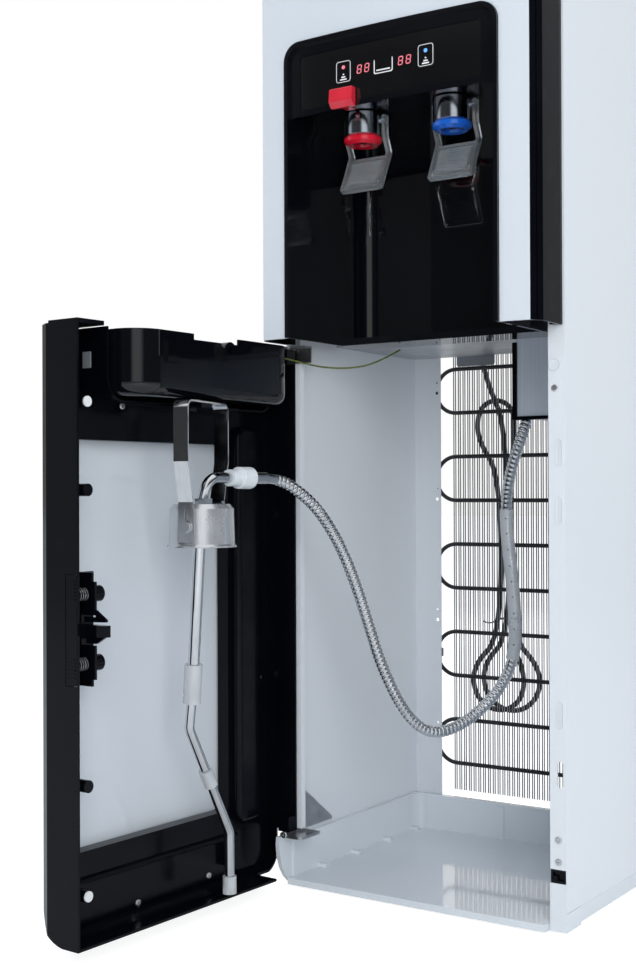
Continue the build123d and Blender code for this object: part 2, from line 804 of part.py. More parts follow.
def condenser_tube():
    """Serpentine tube with half-circle bends, a riser on its right and an end
    that turns in through the rear panel."""
    bend = run_pitch / 2
    low_corner = riser_x - bend
    half = math.sin(math.pi / 4)
    edges = [
        Line((riser_x, rear - 4, riser_top), (riser_x, condenser_y - 12, riser_top)),
        ThreePointArc(
            (riser_x, condenser_y - 12, riser_top),
            (riser_x, condenser_y - 12 + 12 * half, riser_top - 12 + 12 * half),
            (riser_x, condenser_y, riser_top - 12),
        ),
        Line((riser_x, condenser_y, riser_top - 12), (riser_x, condenser_y, run_lowest + bend)),
        ThreePointArc(
            (riser_x, condenser_y, run_lowest + bend),
            (low_corner + bend * half, condenser_y, run_lowest + bend - bend * half),
            (low_corner, condenser_y, run_lowest),
        ),
    ]
    for i in range(run_count):
        z = run_lowest + i * run_pitch
        side = -1 if i % 2 == 0 else 1
        start = (low_corner if i == 0 else -side * run_half, condenser_y, z)
        end = (side * run_half, condenser_y, z)
        if i == run_count - 1:
            end = (top_end_x - 14, condenser_y, z)
        edges.append(Line(start, end))
        if i < run_count - 1:
            middle = (side * (run_half + bend), condenser_y, z + bend)
            edges.append(ThreePointArc(end, middle, (end[0], condenser_y, z + run_pitch)))
    z = run_lowest + (run_count - 1) * run_pitch
    edges.append(
        ThreePointArc(
            (top_end_x - 14, condenser_y, z),
            (top_end_x - 14 + 14 * half, condenser_y - 14 + 14 * half, z),
            (top_end_x, condenser_y - 14, z),
        )
    )
    edges.append(Line((top_end_x, condenser_y - 14, z), (top_end_x, rear - 6, z)))
    section = Plane(origin=(riser_x, rear - 4, riser_top), z_dir=(0, 1, 0)) * Circle(tube_radius)
    return sweep(section, path=Wire(edges))


write(condenser_tube(), "condenser_tube")


def condenser_wires():
    """Upright wires, welded to the front and the back of the tube's runs."""
    wires = []
    low = run_lowest - 22
    high = run_lowest + (run_count - 1) * run_pitch + 22
    count = 36
    spacing = 2 * (run_half - 2) / (count - 1)
    offset = tube_radius + wire_radius - 0.15
    for i in range(count):
        x = -run_half + 2 + i * spacing
        for y, shift in ((condenser_y - offset, 0.0), (condenser_y + offset, spacing * 0.4)):
            plane = Plane(origin=(x + shift, y, low), z_dir=(0, 0, 1))
            wires.append(extrude(plane * RegularPolygon(wire_radius, 6), high - low))
    return Compound(children=wires)


write(condenser_wires(), "condenser_wires")


def condenser_brackets():
    """Four clips that stand the condenser's bends off the cabinet."""
    clips = []
    reach = run_half + run_pitch / 2 + tube_radius
    for side, run in ((-1, 2), (-1, 12), (1, 3), (1, 11)):
        z = run_lowest + (run + 0.5) * run_pitch
        seat = rear + 0.05 if z < rear_panel_bottom else rear + 1.15
        foot = block(121, reach + 2.8, seat, seat + 1.4, z - 8, z + 8)
        arm = block(reach - 8, reach + 2.8, seat, condenser_y + 5, z - 5, z + 5)
        slot = block(reach - 9, reach + 0.1, condenser_y - 2.6, condenser_y + 2.6, z - 6, z + 6)
        gap = block(reach - 9, reach - 4, seat + 1.4, condenser_y - 4, z - 6, z + 6)
        clip = foot + arm - slot - gap
        clips.append(clip if side > 0 else mirror(clip, Plane.YZ))
    return Compound(children=[s for clip in clips for s in clip.solids()])


write(condenser_brackets(), "condenser_brackets")

# ---------------------------------------------------------------------------
# Hinges
# ---------------------------------------------------------------------------


def upper_hinge():
    """Plate between door and front panel, tab on the flange, pin downwards."""
    plate = rod((hinge_x, hinge_y, 550.6), (hinge_x, hinge_y, 552.8), 6.5)
    plate += block(hinge_x - 4, -124, hinge_y - 4, front - 0.1, 550.6, 552.8)
    tab = block(-143.6, -124, front - 1.5, front - 0.1, 536, 552.8)
    pin = rod((hinge_x, hinge_y, 538.0), (hinge_x, hinge_y, 551), pin_radius)
    return plate + tab + pin


write(upper_hinge(), "upper_hinge")


def lower_hinge():
    """Bracket with its pin upwards and a triangular gusset in the bay."""
    plate = block(-153.4, -124, hinge_y - 13, front + 12, 52.2, 55.2)
    plate = fillet(plate.edges().filter_by(Axis.Z).group_by(Axis.Y)[0], 6)
    gusset_line = [(front + 8, 52.2), (front + 76, 52.2), (front + 76, 55), (front + 8, 104)]
    gusset = plate_yz(gusset_line, -153.4, -151.4)
    pin = rod((hinge_x, hinge_y, 55), (hinge_x, hinge_y, 69), pin_radius)
    return plate + gusset + pin


write(lower_hinge(), "lower_hinge")

# ---------------------------------------------------------------------------
# Door: white bowed skin in a black moulded frame
# ---------------------------------------------------------------------------


def door_section(inset):
    """The closed door's side view as a solid: the foot curves back under it."""
    low = door_bottom + inset
    face = front - front_depth - front_bow - 3 + inset
    shoulder = low + 40
    a = (-200, front - door_gap, door_top + 5)
    b = (-200, front - door_gap, low)
    c = (-200, front - 22, low)
    d = (-200, front - 54 + inset, shoulder)
    e = (-200, face, shoulder + 12)
    f = (-200, face, door_top + 5)
    mid = (-200, front - 44.5 + inset * 0.7, low + 11.5)
    foot = ThreePointArc(c, mid, d)
    outline = Polyline(a, b, c).edges() + foot.edges() + Polyline(d, e, f, a).edges()
    return extrude(make_face(outline), amount=400, dir=(1, 0, 0))


def door_envelope(inset):
    """The whole closed door as a solid, shrunk by inset on its outer faces."""
    plan = bowed_prism(inset, band_half, front - door_gap, door_bottom + inset, door_top - inset)
    x = foot_corner - band_half
    z = door_bottom + foot_corner
    corner = block(-170, x, front - 90, front + 5, 0, z)
    corner -= rod((x, front - 91, z), (x, front + 6, z), foot_corner - inset)
    return (plan & door_section(inset)) - corner


def hinge_notches():
    """Room for both hinge plates and for the base's left cheek."""
    upper = block(-160, -118, front - 26, front + 2, 549.4, 560)
    lower = block(-160, -119, front - 27.6, front + 2, 0, 57.0)
    lower = fillet(lower.edges().filter_by(Axis.X).group_by(Axis.Y)[0].sort_by(Axis.Z)[-1:], 3)
    return upper + lower


skin_region = block(-face_half, face_half, front - 80, front - 40, 20, door_top)
pocket_mouth = block(-niche_half, niche_half, front - 80, front - 20, 491.0, door_top + 5)
pocket_mouth = fillet(pocket_mouth.edges().filter_by(Axis.Y).group_by(Axis.Z)[0], niche_corner)


def door_skin():
    """White front of the door, notched at the top for the drip tray."""
    shell = door_envelope(0) - door_envelope(skin)
    panel = (shell & skin_region) - pocket_mouth
    return panel - block(-200, 200, front - 80, front, door_top - skin - 0.1, door_top + 1)


write(on_door(door_skin()), "door_skin")


def door_frame():
    """Black frame: side bands, foot, liner with window, posts and bosses."""
    shell = door_envelope(0) - door_envelope(skin) - skin_region
    frame = shell - block(-160, 160, front - 80, front + 1, door_top - skin, door_top + 1)
    # liner plate, joined to the bands, with a rimmed window
    liner = block(-151, 151, front - liner_depth, front - liner_depth + 2.5, door_bottom + 1.5, 549)
    rim = 2.4
    rim_low = window_low - rim
    rim_high = window_high + rim
    rim_outer = block(window_left - rim, window_right + rim, front - 52, front - 40, rim_low, rim_high)
    rim_outer = fillet(rim_outer.edges().filter_by(Axis.Y), 10)
    rim_inner = block(window_left, window_right, front - 60, front - 30, window_low, window_high)
    rim_inner = fillet(rim_inner.edges().filter_by(Axis.Y), 8)
    frame += (liner + (rim_outer & door_envelope(skin + 0.1))) & door_envelope(0.5)
    frame -= rim_inner & door_envelope(skin + 0.05)
    # moulded stiffening channel beside the window, and the lower rail's step
    channel = block(-131, -93, front - liner_depth + 1, front - 29, 70, 470)
    channel = fillet(channel.edges().filter_by(Axis.Y), 12)
    channel = fillet(channel.edges().group_by(Axis.Y)[-1], 6)
    frame += channel
    rail = block(-96, 128, front - liner_depth + 1, front - 33, 20, 62)
    rail = fillet(rail.edges().filter_by(Axis.X).group_by(Axis.Y)[-1], 5)
    frame += rail
    # posts that meet the right flange
    for z in (58.0, 152.0, 406.0, 482.0):
        tip = front - 0.5 if z in (152.0, 406.0) else front - 2.0
        frame += rod((142, front - liner_depth + 1, z), (142, tip, z), 5.5)
    # screw bosses
    for x, z in ((64, 483), (45, 23), (-55, 26), (-90, 500)):
        boss = rod((x, front - liner_depth + 1, z), (x, front - 35, z), 5.0)
        frame += boss - rod((x, front - 38, z), (x, front - 34, z), 1.6)
    # block that keeps the foot of the suction tube
    frame += block(-84, -71, front - 34, front - 24, 34, 56)
    # top wall at the free end
    frame += block(119, 151, front - 40, front - 4, door_top - 4, door_top) & door_envelope(0)
    # hinge bosses
    upper_boss = block(-153, -139, hinge_y - 7.5, front - door_gap, 534, 549.4)
    lower_boss = block(-153, -139, hinge_y - 7.5, front - door_gap, 57.0, 72)
    frame += upper_boss + lower_boss
    frame -= hinge_notches()
    hole = pin_radius + pin_clearance
    frame -= rod((hinge_x, hinge_y, 536), (hinge_x, hinge_y, 552), hole)
    frame -= rod((hinge_x, hinge_y, 50), (hinge_x, hinge_y, 70.5), hole)
    # openings for the pocket and for the latch's grip plate
    frame -= pocket_mouth
    frame -= block(-pocket_half - 0.4, pocket_half + 0.4, front - 80, front + 1, pocket_bottom - 0.4, 560)
    # collar round the drip tray pocket
    collar = block(-117.5, 117.5, front - liner_depth + 1, front - 2.2, 482.5, 549)
    collar = fillet(collar.edges().filter_by(Axis.Y).group_by(Axis.Z)[0], 23.2)
    hollow = block(-115.3, 115.3, front - 50, front, 484.7, 560)
    hollow = fillet(hollow.edges().filter_by(Axis.Y).group_by(Axis.Z)[0], 21)
    frame += collar - hollow
    frame -= block(150, 154, front - 17.2, front - 2.8, latch_low - 0.6, latch_high + 0.6)
    frame -= door_skin()
    return max(frame.solids(), key=lambda s: s.volume)


write(on_door(door_frame()), "door_frame")


def door_bumpers():
    """White felt pads on two of the posts."""
    pads = [rod((142, front - 2.0, z), (142, front - 0.5, z), 4.6) for z in (58.0, 482.0)]
    return Compound(children=pads)


write(on_door(door_bumpers()), "door_bumpers")


def drip_pocket():
    """Tub in the door's top: the lower part of the niche, with its bezel."""
    wall = pocket_wall
    y_front = front - 46
    tub = block(-pocket_half, pocket_half, y_front, pocket_back, pocket_bottom, pocket_rim)
    tub = fillet(tub.edges().filter_by(Axis.Z).group_by(Axis.Y)[-1], pocket_corner)
    tub = fillet(tub.edges().group_by(Axis.Z)[0].sort_by(Axis.Y)[1:], 12)
    half = pocket_half - wall
    core = block(-half, half, y_front - 5, pocket_back - wall, pocket_bottom + wall, 560)
    core = fillet(core.edges().filter_by(Axis.Z).group_by(Axis.Y)[-1], pocket_corner - wall)
    core = fillet(core.edges().group_by(Axis.Z)[0].sort_by(Axis.Y)[1:], 9.5)
    tub -= core
    # raised bezel that carries on the niche frame, with a low sill
    slab = bowed_prism(-niche_raise, band_half + 4, y_front, 480, door_top)
    outer = block(-niche_half + 0.3, niche_half - 0.3, front - 80, front - 20, 491.3, door_top + 5)
    outer = fillet(outer.edges().filter_by(Axis.Y).group_by(Axis.Z)[0], niche_corner)
    inner_half = niche_half - niche_rim - 0.3
    inner = block(-inner_half + 3, inner_half - 3, front - 90, front - 10, 498, door_top + 9)
    inner = fillet(inner.edges().filter_by(Axis.Y).group_by(Axis.Z)[0], niche_corner - 6)
    tub += (slab & outer) - inner
    # rim notches, clip tab and screw boss on the back
    tub -= block(-23.5, 39.6, pocket_back - 6, pocket_back + 1, pocket_rim - 5.4, pocket_rim + 1)
    tub += block(60, 77, pocket_back - 1, pocket_back + 3, 519, 538)
    boss = rod((-3, pocket_back - 1, 534), (-3, pocket_back + 7, 534), 8.5)
    tub += boss - rod((-3, pocket_back + 1, 534), (-3, pocket_back + 8, 534), 3.4)
    # hook for the suction probe's bail under the tub
    root = block(probe_x - 9, probe_x + 9, front + 6, front + 14, bail_top - 8, pocket_bottom + 1)
    tongue = block(probe_x - 7, probe_x + 7, front + 10, probe_y + 6, bail_top - 5.4, bail_top - 1.45)
    return tub + root + tongue


write(on_door(drip_pocket()), "drip_pocket")

tray_back = pocket_back - pocket_wall - 1.0
tray_half = pocket_half - pocket_wall - 9.0
tray_sill = front - 45.6
tray_front = front - 55.0
tray_floor_z = pocket_bottom + pocket_wall + 0.1
tray_top = 541.0


def tray_block(inset, low_back, low_front, top, foot=0):
    """The tray's outer or inner form: a deep rear part, a shallow front part."""
    half = tray_half - inset
    rear_part = block(-half, half, tray_sill + inset, tray_back - inset, low_back, top)
    rear_part = fillet(rear_part.edges().filter_by(Axis.Z).group_by(Axis.Y)[-1], pocket_corner - 6 - inset)
    front_part = block(-half, half, tray_front + inset, tray_sill + 20, low_front, top)
    if foot:
        low_edges = rear_part.edges().group_by(Axis.Z)[0].sort_by(Axis.Y)[1:]
        rear_part = fillet(low_edges, foot - inset)
        side_edges = front_part.edges().filter_by(Axis.Y).group_by(Axis.Z)[0]
        front_part = fillet(side_edges, foot + 2 - inset)
    return rear_part + front_part


def drip_tray():
    """Lift-out drip tray with a ledge for its grille and a front lip."""
    tray = tray_block(0, tray_floor_z, 499.0, tray_top, foot=10.5)
    tray -= tray_block(2.0, tray_floor_z + 2, 501.0, tray_top + 4, foot=10.5)
    return tray - tray_block(0.9, tray_top - 3.0, tray_top - 3.0, tray_top + 4)


write(on_door(drip_tray()), "drip_tray")


def drip_grille():
    """Slotted grille that lies on the tray's ledge."""
    plate = tray_block(1.2, tray_top - 2.9, tray_top - 2.9, tray_top - 0.9)
    slots = []
    for i in range(17):
        x = -80 + i * 10
        reach = 28 - 10 * (i / 8 - 1) ** 2
        y = (tray_front + tray_back) / 2
        slot = extrude(SlotCenterToCenter(2 * reach, 4.0, rotation=90), 4, both=True)
        slots.append(Pos(x, y, tray_top - 2) * slot)
    for slot in slots:
        plate -= slot
    return plate


write(on_door(drip_grille()), "drip_grille")

# ---------------------------------------------------------------------------
# Latch: grip plate on the free edge, hook behind the right flange, two springs
# ---------------------------------------------------------------------------


def latch_housing():
    """Channel on the side band that guides the slider and carries bosses."""
    low = latch_low - 2
    high = latch_high + 1.5
    body = block(120, 135.5, front - 19.5, front - 17.0, low, high)
    body += block(133, 135.5, front - 19.5, front - 3.2, low, high)
    body += block(133, 135.5, front - 4, front + 0.5, low + 6, high - 8)
    body += block(120, 150.5, front - 19.5, front - 17.3, high - 7, high)
    body += block(120, 150.5, front - 19.5, front - 17.3, low, low + 7)
    for z in spring_z:
        body += rod((120, spring_y, z), (134, spring_y, z), 7.2)
        body += rod((135, spring_y, z), (142.0, spring_y, z), 3.0)
    body -= block(116, 141, front - 16.0, front + 1, 272, 298)
    return body


write(on_door(latch_housing()), "latch_housing")


def latch_slider():
    """Grip plate with its ribs, arm, and hook with a sloped nose."""
    grip = block(150.4, 152.8, front - 16.6, front - 3.4, latch_low, latch_high)
    for i in range(6):
        for z0 in (latch_low + 6, latch_high - 22):
            z = z0 + i * 3.2
            grip += block(152.7, 153.4, front - 14.5, front - 5.5, z, z + 1.4)
    arm = block(133, 150.6, front - 12.5, front - 9.5, 278, 292)
    shank = block(132.0, 136.6, front - 12.5, front + 8.0, 280, 290)
    nose = plate_xy(
        [
            (132.0, front + 7.5),
            (141.6, front + 7.6),
            (141.6, front + 9.2),
            (136.0, front + 17.0),
            (133.0, front + 17.0),
            (132.0, front + 15.5),
        ],
        280,
        290,
    )
    upper_fin = plate_yz(
        [
            (front - 12.5, 291.8),
            (front - 12.5, 296.5),
            (front + 1.2, 296.5),
            (front + 1.2, 302.4),
            (front + 13.5, 294.6),
            (front + 13.5, 292.6),
            (front - 9.5, 291.8),
        ],
        132.6,
        135.4,
    )
    lower_web = plate_yz(
        [(front - 10, 281), (front - 10, 273.6), (front + 2.0, 273.6), (front + 15.0, 281)],
        132.6,
        135.4,
    )
    return grip + arm + shank + nose + upper_fin + lower_web


write(on_door(latch_slider()), "latch_slider")


def coil_spring(x0, x1, y, z, radius, wire, turns):
    """Open compression spring along X, its ends square on both seats."""
    length = x1 - x0 - 2 * wire
    helix = Helix(
        pitch=length / turns,
        height=length,
        radius=radius,
        center=(0, 0, wire),
        direction=(0, 0, 1),
    )
    start = helix @ 0
    section = Plane(origin=start, z_dir=helix % 0) * Circle(wire)
    coil = sweep(section, path=helix)
    return Plane(origin=(x0, y, z), z_dir=(1, 0, 0)) * coil


def latch_springs():
    """The two springs that push the grip plate outwards."""
    springs = [coil_spring(135.7, 150.2, spring_y, z, 5.2, 0.6, 5) for z in spring_z]
    return Compound(children=[s for spring in springs for s in spring.solids()])


write(on_door(latch_springs()), "latch_springs")

# ---------------------------------------------------------------------------
# Suction probe: cap, bail, elbow, union, suction tube and its sleeves
# ---------------------------------------------------------------------------


def in_probe(shape):
    """Turns a piece of the probe about its upright axis and hangs it up."""
    return on_door(Pos(probe_x, probe_y, 0) * Rot(0, 0, probe_yaw) * shape)


def probe_cap():
    """Drawn stainless cap, open below, with a rolled foot and pivot ears."""
    outer = Polyline(
        (5.0, cap_top),
        (cap_radius - 3.5, cap_top),
        (cap_radius, cap_top - 4.0),
        (cap_radius + 1.0, cap_bottom + 3.0),
        (cap_radius + 2.6, cap_bottom + 1.2),
        (cap_radius + 2.6, cap_bottom),
        (cap_radius - 0.2, cap_bottom),
        (cap_radius - 1.0, cap_top - 4.6),
        (cap_radius - 4.0, cap_top - 1.0),
        (5.0, cap_top - 1.0),
        close=True,
    )
    outline = make_face([Plane.XZ * e for e in outer.edges()])
    cap = revolve(outline, Axis.Z)
    hole = rod((-60, 0, bail_pivot_z), (60, 0, bail_pivot_z), 2.55)
    return cap - hole


write(in_probe(probe_cap()), "probe_cap")

bail_half = 42.0
bail_seat = cap_radius + 3.6


def probe_bail():
    """Bail of stainless strip: slotted feet, cranked legs, flat bridge."""
    t = 1.4
    width = 14.4
    leg = [
        (bail_seat, bail_pivot_z - 14),
        (bail_seat, 395),
        (bail_half, 431),
        (bail_half, bail_top),
        (0, bail_top),
    ]
    inner = [
        (0, bail_top - t),
        (bail_half - t, bail_top - t),
        (bail_half - t, 431.3),
        (bail_seat - t, 395.3),
        (bail_seat - t, bail_pivot_z - 14),
    ]
    outline = make_face(Polyline(*[(x, -width / 2, z) for x, z in leg + inner], close=True).edges())
    half = extrude(outline, amount=width, dir=(0, 1, 0))
    for order, radius in ((-2, 8.0 - t), (-1, 8.0)):
        upright = half.edges().filter_by(Axis.Y)
        half = fillet(upright.sort_by(lambda e: e.center().X + e.center().Z)[order], radius)
    half -= rod((20, 0, bail_pivot_z), (50, 0, bail_pivot_z), 2.6)
    half -= block(20, 50, -1.6, 1.6, bail_pivot_z + 6, bail_pivot_z + 16)
    return half + mirror(half, Plane.YZ)


write(in_probe(probe_bail()), "probe_bail")


def bail_pivots():
    """Two shoulder screws that hold the bail's feet to the cap."""
    screws = []
    for side in (-1, 1):
        inner = side * (cap_radius - 5.0)
        seat = side * (bail_seat + 0.4)
        shank = rod((inner, 0, bail_pivot_z), (seat + side * 0.2, 0, bail_pivot_z), 2.5)
        head = rod((seat, 0, bail_pivot_z), (seat + side * 3.0, 0, bail_pivot_z), 5.2)
        nut = rod((inner, 0, bail_pivot_z), (inner + side * 3.2, 0, bail_pivot_z), 4.6)
        screws.append(shank + head + nut)
    return Compound(children=[s for screw in screws for s in screw.solids()])


write(in_probe(bail_pivots()), "bail_pivots")

elbow_radius = 5.0
elbow_z = 417.0
elbow_y = probe_y + 6.2
union_x = probe_x - 30.4
union_step = 13.0
union_length = 31.5
ferrule_x = union_x - union_length
ferrule_length = 22.0


def probe_elbow():
    """Chromed elbow, hexagon at its foot, that turns towards the hinge."""
    route = [
        (probe_x, probe_y, cap_top - 6),
        (probe_x, probe_y, cap_top + 3),
        (probe_x - 1, elbow_y, elbow_z),
        (union_x - 18, elbow_y, elbow_z),
    ]
    path = FilletPolyline(*route, radius=[8, 13])
    section = Plane(origin=route[0], z_dir=(0, 0, 1)) * Circle(elbow_radius)
    hexagon = Pos(probe_x, probe_y, cap_top + 0.05) * extrude(RegularPolygon(9.5, 6), 5)
    return sweep(section, path=path) + hexagon


write(on_door(probe_elbow()), "probe_elbow")


def along_union(start, end, radius):
    """A round bar on the line of the union, measured from its open end."""
    return rod((union_x - start, elbow_y, elbow_z), (union_x - end, elbow_y, elbow_z), radius)


def union_nut():
    """White stepped union nut between the elbow and the hose."""
    body = fillet(along_union(union_step, union_length, 10.3).edges(), 1.2)
    nut = along_union(0, union_step + 0.1, 7.8) + body
    nut -= along_union(-1, union_length + 1, elbow_radius + 0.05)
    for i in range(10):
        angle = math.radians(36 * i)
        y = elbow_y + 10.8 * math.cos(angle)
        z = elbow_z + 10.8 * math.sin(angle)
        nut -= rod((union_x - union_step - 1, y, z), (union_x - union_length - 1, y, z), 1.0)
    return nut


write(on_door(union_nut()), "union_nut")


def hose_ferrule():
    """Chromed ferrule crimped on the end of the hose, with its tail."""
    collar = fillet(along_union(union_length + 0.05, union_length + ferrule_length, 6.2).edges(), 0.7)
    return collar + along_union(18.5, union_length + 1, elbow_radius)


write(on_door(hose_ferrule()), "hose_ferrule")

sleeve_low = (tube_x, probe_y - 15.3, 219.0)
upper_tube_top = (probe_x, probe_y - 1.0, cap_top - 8.0)
upper_tube_radius = 5.4
lower_tube_radius = 4.6
foot_route = [
    (tube_x, probe_y - 15.6, 216.0),
    (tube_x + 0.7, probe_y - 18.5, 186.0),
    (tube_x - 58.3, probe_y - 20.5, 80.0),
    (tube_x - 58.6, probe_y - 20.6, 27.0),
]


def suction_tubes():
    """Straight stainless tube below the cap and the twice bent one below it."""
    upper = rod(upper_tube_top, sleeve_low, upper_tube_radius)
    path = FilletPolyline(*foot_route, radius=12)
    section = Plane(origin=foot_route[0], z_dir=path % 0) * Circle(lower_tube_radius)
    lower = sweep(section, path=path)
    return Compound(children=[upper, lower])


write(on_door(suction_tubes()), "suction_tubes")


def tube_sleeves():
    """Clear sleeves: the joint of both tubes, the middle ring, the foot cap."""
    low = Vector(*sleeve_low)
    down = (low - Vector(*upper_tube_top)).normalized()
    joint_start = low - down * 27
    joint_end = low + down * 9
    joint = rod(tuple(joint_start), tuple(joint_end), 8.3)
    joint -= rod(tuple(joint_start - down), tuple(low + down * 0.5), upper_tube_radius + 0.05)
    joint -= rod(tuple(low - down * 0.5), tuple(joint_end + down), lower_tube_radius + 0.35)
    a = Vector(*foot_route[1])
    along = (Vector(*foot_route[2]) - a).normalized()
    middle = a + along * 56
    ring = rod(tuple(middle - along * 9), tuple(middle + along * 9), 6.6)
    ring -= rod(tuple(middle - along * 12), tuple(middle + along * 12), lower_tube_radius + 0.1)
    foot = Vector(*foot_route[3])
    cap = rod((foot.X, foot.Y, 21.5), (foot.X, foot.Y, 38.0), 6.6)
    cap -= rod((foot.X, foot.Y, 26.9), (foot.X, foot.Y, 40.0), lower_tube_radius + 0.2)
    return Compound(children=[s for piece in (joint, ring, cap) for s in piece.solids()])


write(on_door(tube_sleeves()), "tube_sleeves")

# ---------------------------------------------------------------------------
# Flexible hose from the pump box to the probe, and the thin earth wire
# ---------------------------------------------------------------------------

hose_end = door_point((ferrule_x - ferrule_length - 0.02, elbow_y, elbow_z))
hose_route = [
    hose_exit,
    (57.5, -2.4, 484),
    (51, -9, 456),
    (41, -12, 425),
    (36, -13, 392),
    (37, -12, 356),
    (40, -8, 318),
    (41, -4, 282),
    (42, -4, 246),
    (37, -9, 216),
    (23, -24, 188),
    (2, -46, 165),
    (-14, -74, 158),
    (-27, -94, 170),
    (-38, -112, 199),
    (-48, -126, 236),
    (-55, -137, 276),
    (-62, -149, 316),
    (-71, -163, 354),
    (-84, -181, 388),
    (-98, -203, 409),
    door_point((ferrule_x - ferrule_length - 14, elbow_y, elbow_z)),
    hose_end,
]


def route_radii(points):
    """The largest arc that each corner of a route has room for."""
    radii = []
    for i in range(1, len(points) - 1):
        before = Vector(*points[i]) - Vector(*points[i - 1])
        after = Vector(*points[i + 1]) - Vector(*points[i])
        turn = math.radians(before.get_angle(after))
        radii.append(0.45 * min(before.length, after.length) / math.tan(turn / 2))
    return radii


def tube_along(points, radius, name):
    """A round tube along a route of straight runs and tangent arcs."""
    radii = route_radii(points)
    path = FilletPolyline(*points, radius=radii)
    section = Plane(origin=points[0], z_dir=path % 0) * Circle(radius)
    tube = sweep(section, path=path)
    expected = math.pi * radius**2 * path.length
    print(name, "length", round(path.length, 1), "volume share", round(tube.volume / expected, 4))
    print(name, "radii", [round(r, 1) for r in radii])
    return tube


def circles_along(path, stations, start_side):
    """Circles across a path at given lengths, their X axis kept steady."""
    side = Vector(*start_side)
    circles = []
    for distance, radius in stations:
        share = distance / path.length
        along = path % share
        side = (side - along * side.dot(along)).normalized()
        plane = Plane(origin=path @ share, x_dir=side, z_dir=along)
        circles.append(plane * Circle(radius))
    return circles


def ribbed_hose():
    """Corrugated hose with its bore, square cuffs and a smooth sleeve on it."""
    path = FilletPolyline(*hose_route, radius=route_radii(hose_route))
    outside = [(0.0, hose_valley), (hose_cuff * 0.9, hose_valley)]
    bore = [(0.0, hose_bore)]
    stretches = [(hose_cuff, sleeve_from), (sleeve_to, path.length - hose_cuff)]
    for number, (start, end) in enumerate(stretches):
        count = round((end - start) / hose_rib_pitch)
        pitch = (end - start) / count
        for i in range(count):
            s = start + i * pitch
            outside += [
                (s + 0.10 * pitch, hose_valley),
                (s + 0.32 * pitch, hose_radius),
                (s + 0.68 * pitch, hose_radius),
                (s + 0.90 * pitch, hose_valley),
            ]
            bore.append((s + 0.5 * pitch, hose_bore))
        print("hose ribs in stretch", number + 1, count)
        if number == 0:
            outside += [(sleeve_from + 0.2, sleeve_radius), (sleeve_from + 0.6, sleeve_radius)]
            steps = 14
            for i in range(1, steps):
                s = sleeve_from + (sleeve_to - sleeve_from) * i / steps
                outside.append((s, sleeve_radius))
                bore.append((s, hose_bore))
            outside += [(sleeve_to - 0.6, sleeve_radius), (sleeve_to - 0.2, sleeve_radius)]
    outside += [(path.length - hose_cuff * 0.9, hose_valley), (path.length, hose_valley)]
    bore.append((path.length, hose_bore))
    body = loft(circles_along(path, outside, (0, 1, 0)), ruled=True)
    return body - loft(circles_along(path, bore, (0, 1, 0)), ruled=True)


write(ribbed_hose(), "hose")

wire_route = [
    door_point((-127.5, front - 4.5, 541.0)),
    (-132.5, -142.0, 536.5),
    (-121.0, -120.0, 532.0),
    (-101.0, -98.0, 531.0),
    (-80.0, -76.0, 537.0),
    (-64.0, -56.0, 552.0),
]
write(tube_along(wire_route, 0.9, "earth_wire"), "earth_wire")

# ---------------------------------------------------------------------------
# Pipes inside the upper section
# ---------------------------------------------------------------------------


def bent_pipe(points, radius, bend):
    """A pipe with equal bends."""
    path = FilletPolyline(*points, radius=bend)
    section = Plane(origin=points[0], z_dir=path % 0) * Circle(radius)
    return sweep(section, path=path)


def water_pipes():
    """Silicone pipes: pump to cold tank, cold tank to tap, hot tank to tap."""
    feed = [(pipe_x, pipe_y, 552.1), (pipe_x, pipe_y, 738), (0, tank_y, 738), (0, tank_y, 769.9)]
    cold = [
        (tap_x, tap_y, niche_ceiling + 22.1),
        (tap_x, tap_y, 840),
        (30, tap_y + 30, 840),
        (30, tank_y - 112.1, 840),
    ]
    hot = [
        (85, front + 200, 757.1),
        (85, front + 200, 790),
        (106, tank_y, 800),
        (106, -100, 800),
        (-tap_x, -100, 822),
        (-tap_x, tap_y, 822),
        (-tap_x, tap_y, niche_ceiling + 22.1),
    ]
    pipes = [bent_pipe(feed, 4.0, 18), bent_pipe(cold, 4.0, 10), bent_pipe(hot, 4.0, 11)]
    return Compound(children=pipes)


write(water_pipes(), "water_pipes")


def refrigerant_pipes():
    """Copper pipes of the cooling circuit, with the filter drier in one."""
    top_run = run_lowest + (run_count - 1) * run_pitch
    discharge = [
        (-98, -0.1, 640),
        (-98, -24, 640),
        (-143, -24, 662),
        (-143, 120, 700),
        (-125, 121, top_run),
        (60, 121, top_run),
        (top_end_x, 98, top_run),
        (top_end_x, rear - 6.1, top_run),
    ]
    suction = [(-58, -0.1, 646), (-58, -22, 646), (-58, -22, 784.9)]
    liquid = [(riser_x, rear - 4.1, riser_top), (riser_x, 110, riser_top), (riser_x, 110, riser_top + 34)]
    drier_low = riser_top + 34
    drier = rod((riser_x, 110, drier_low), (riser_x, 110, drier_low + 50), 7)
    drier = fillet(drier.edges(), 3.5)
    capillary = [
        (riser_x, 110, drier_low + 50),
        (riser_x, 110, 765),
        (50, 100, 765),
        (50, 60, 765),
        (50, 60, 784.9),
    ]
    line = bent_pipe(liquid, 2.4, 10) + drier + bent_pipe(capillary, 1.6, 8)
    return Compound(children=[bent_pipe(discharge, 2.4, 9), bent_pipe(suction, 3.2, 10), line])


write(refrigerant_pipes(), "refrigerant_pipes")

# ---------------------------------------------------------------------------
# Mains cord: gland, lead, hank tied behind the condenser, moulded plug
# ---------------------------------------------------------------------------

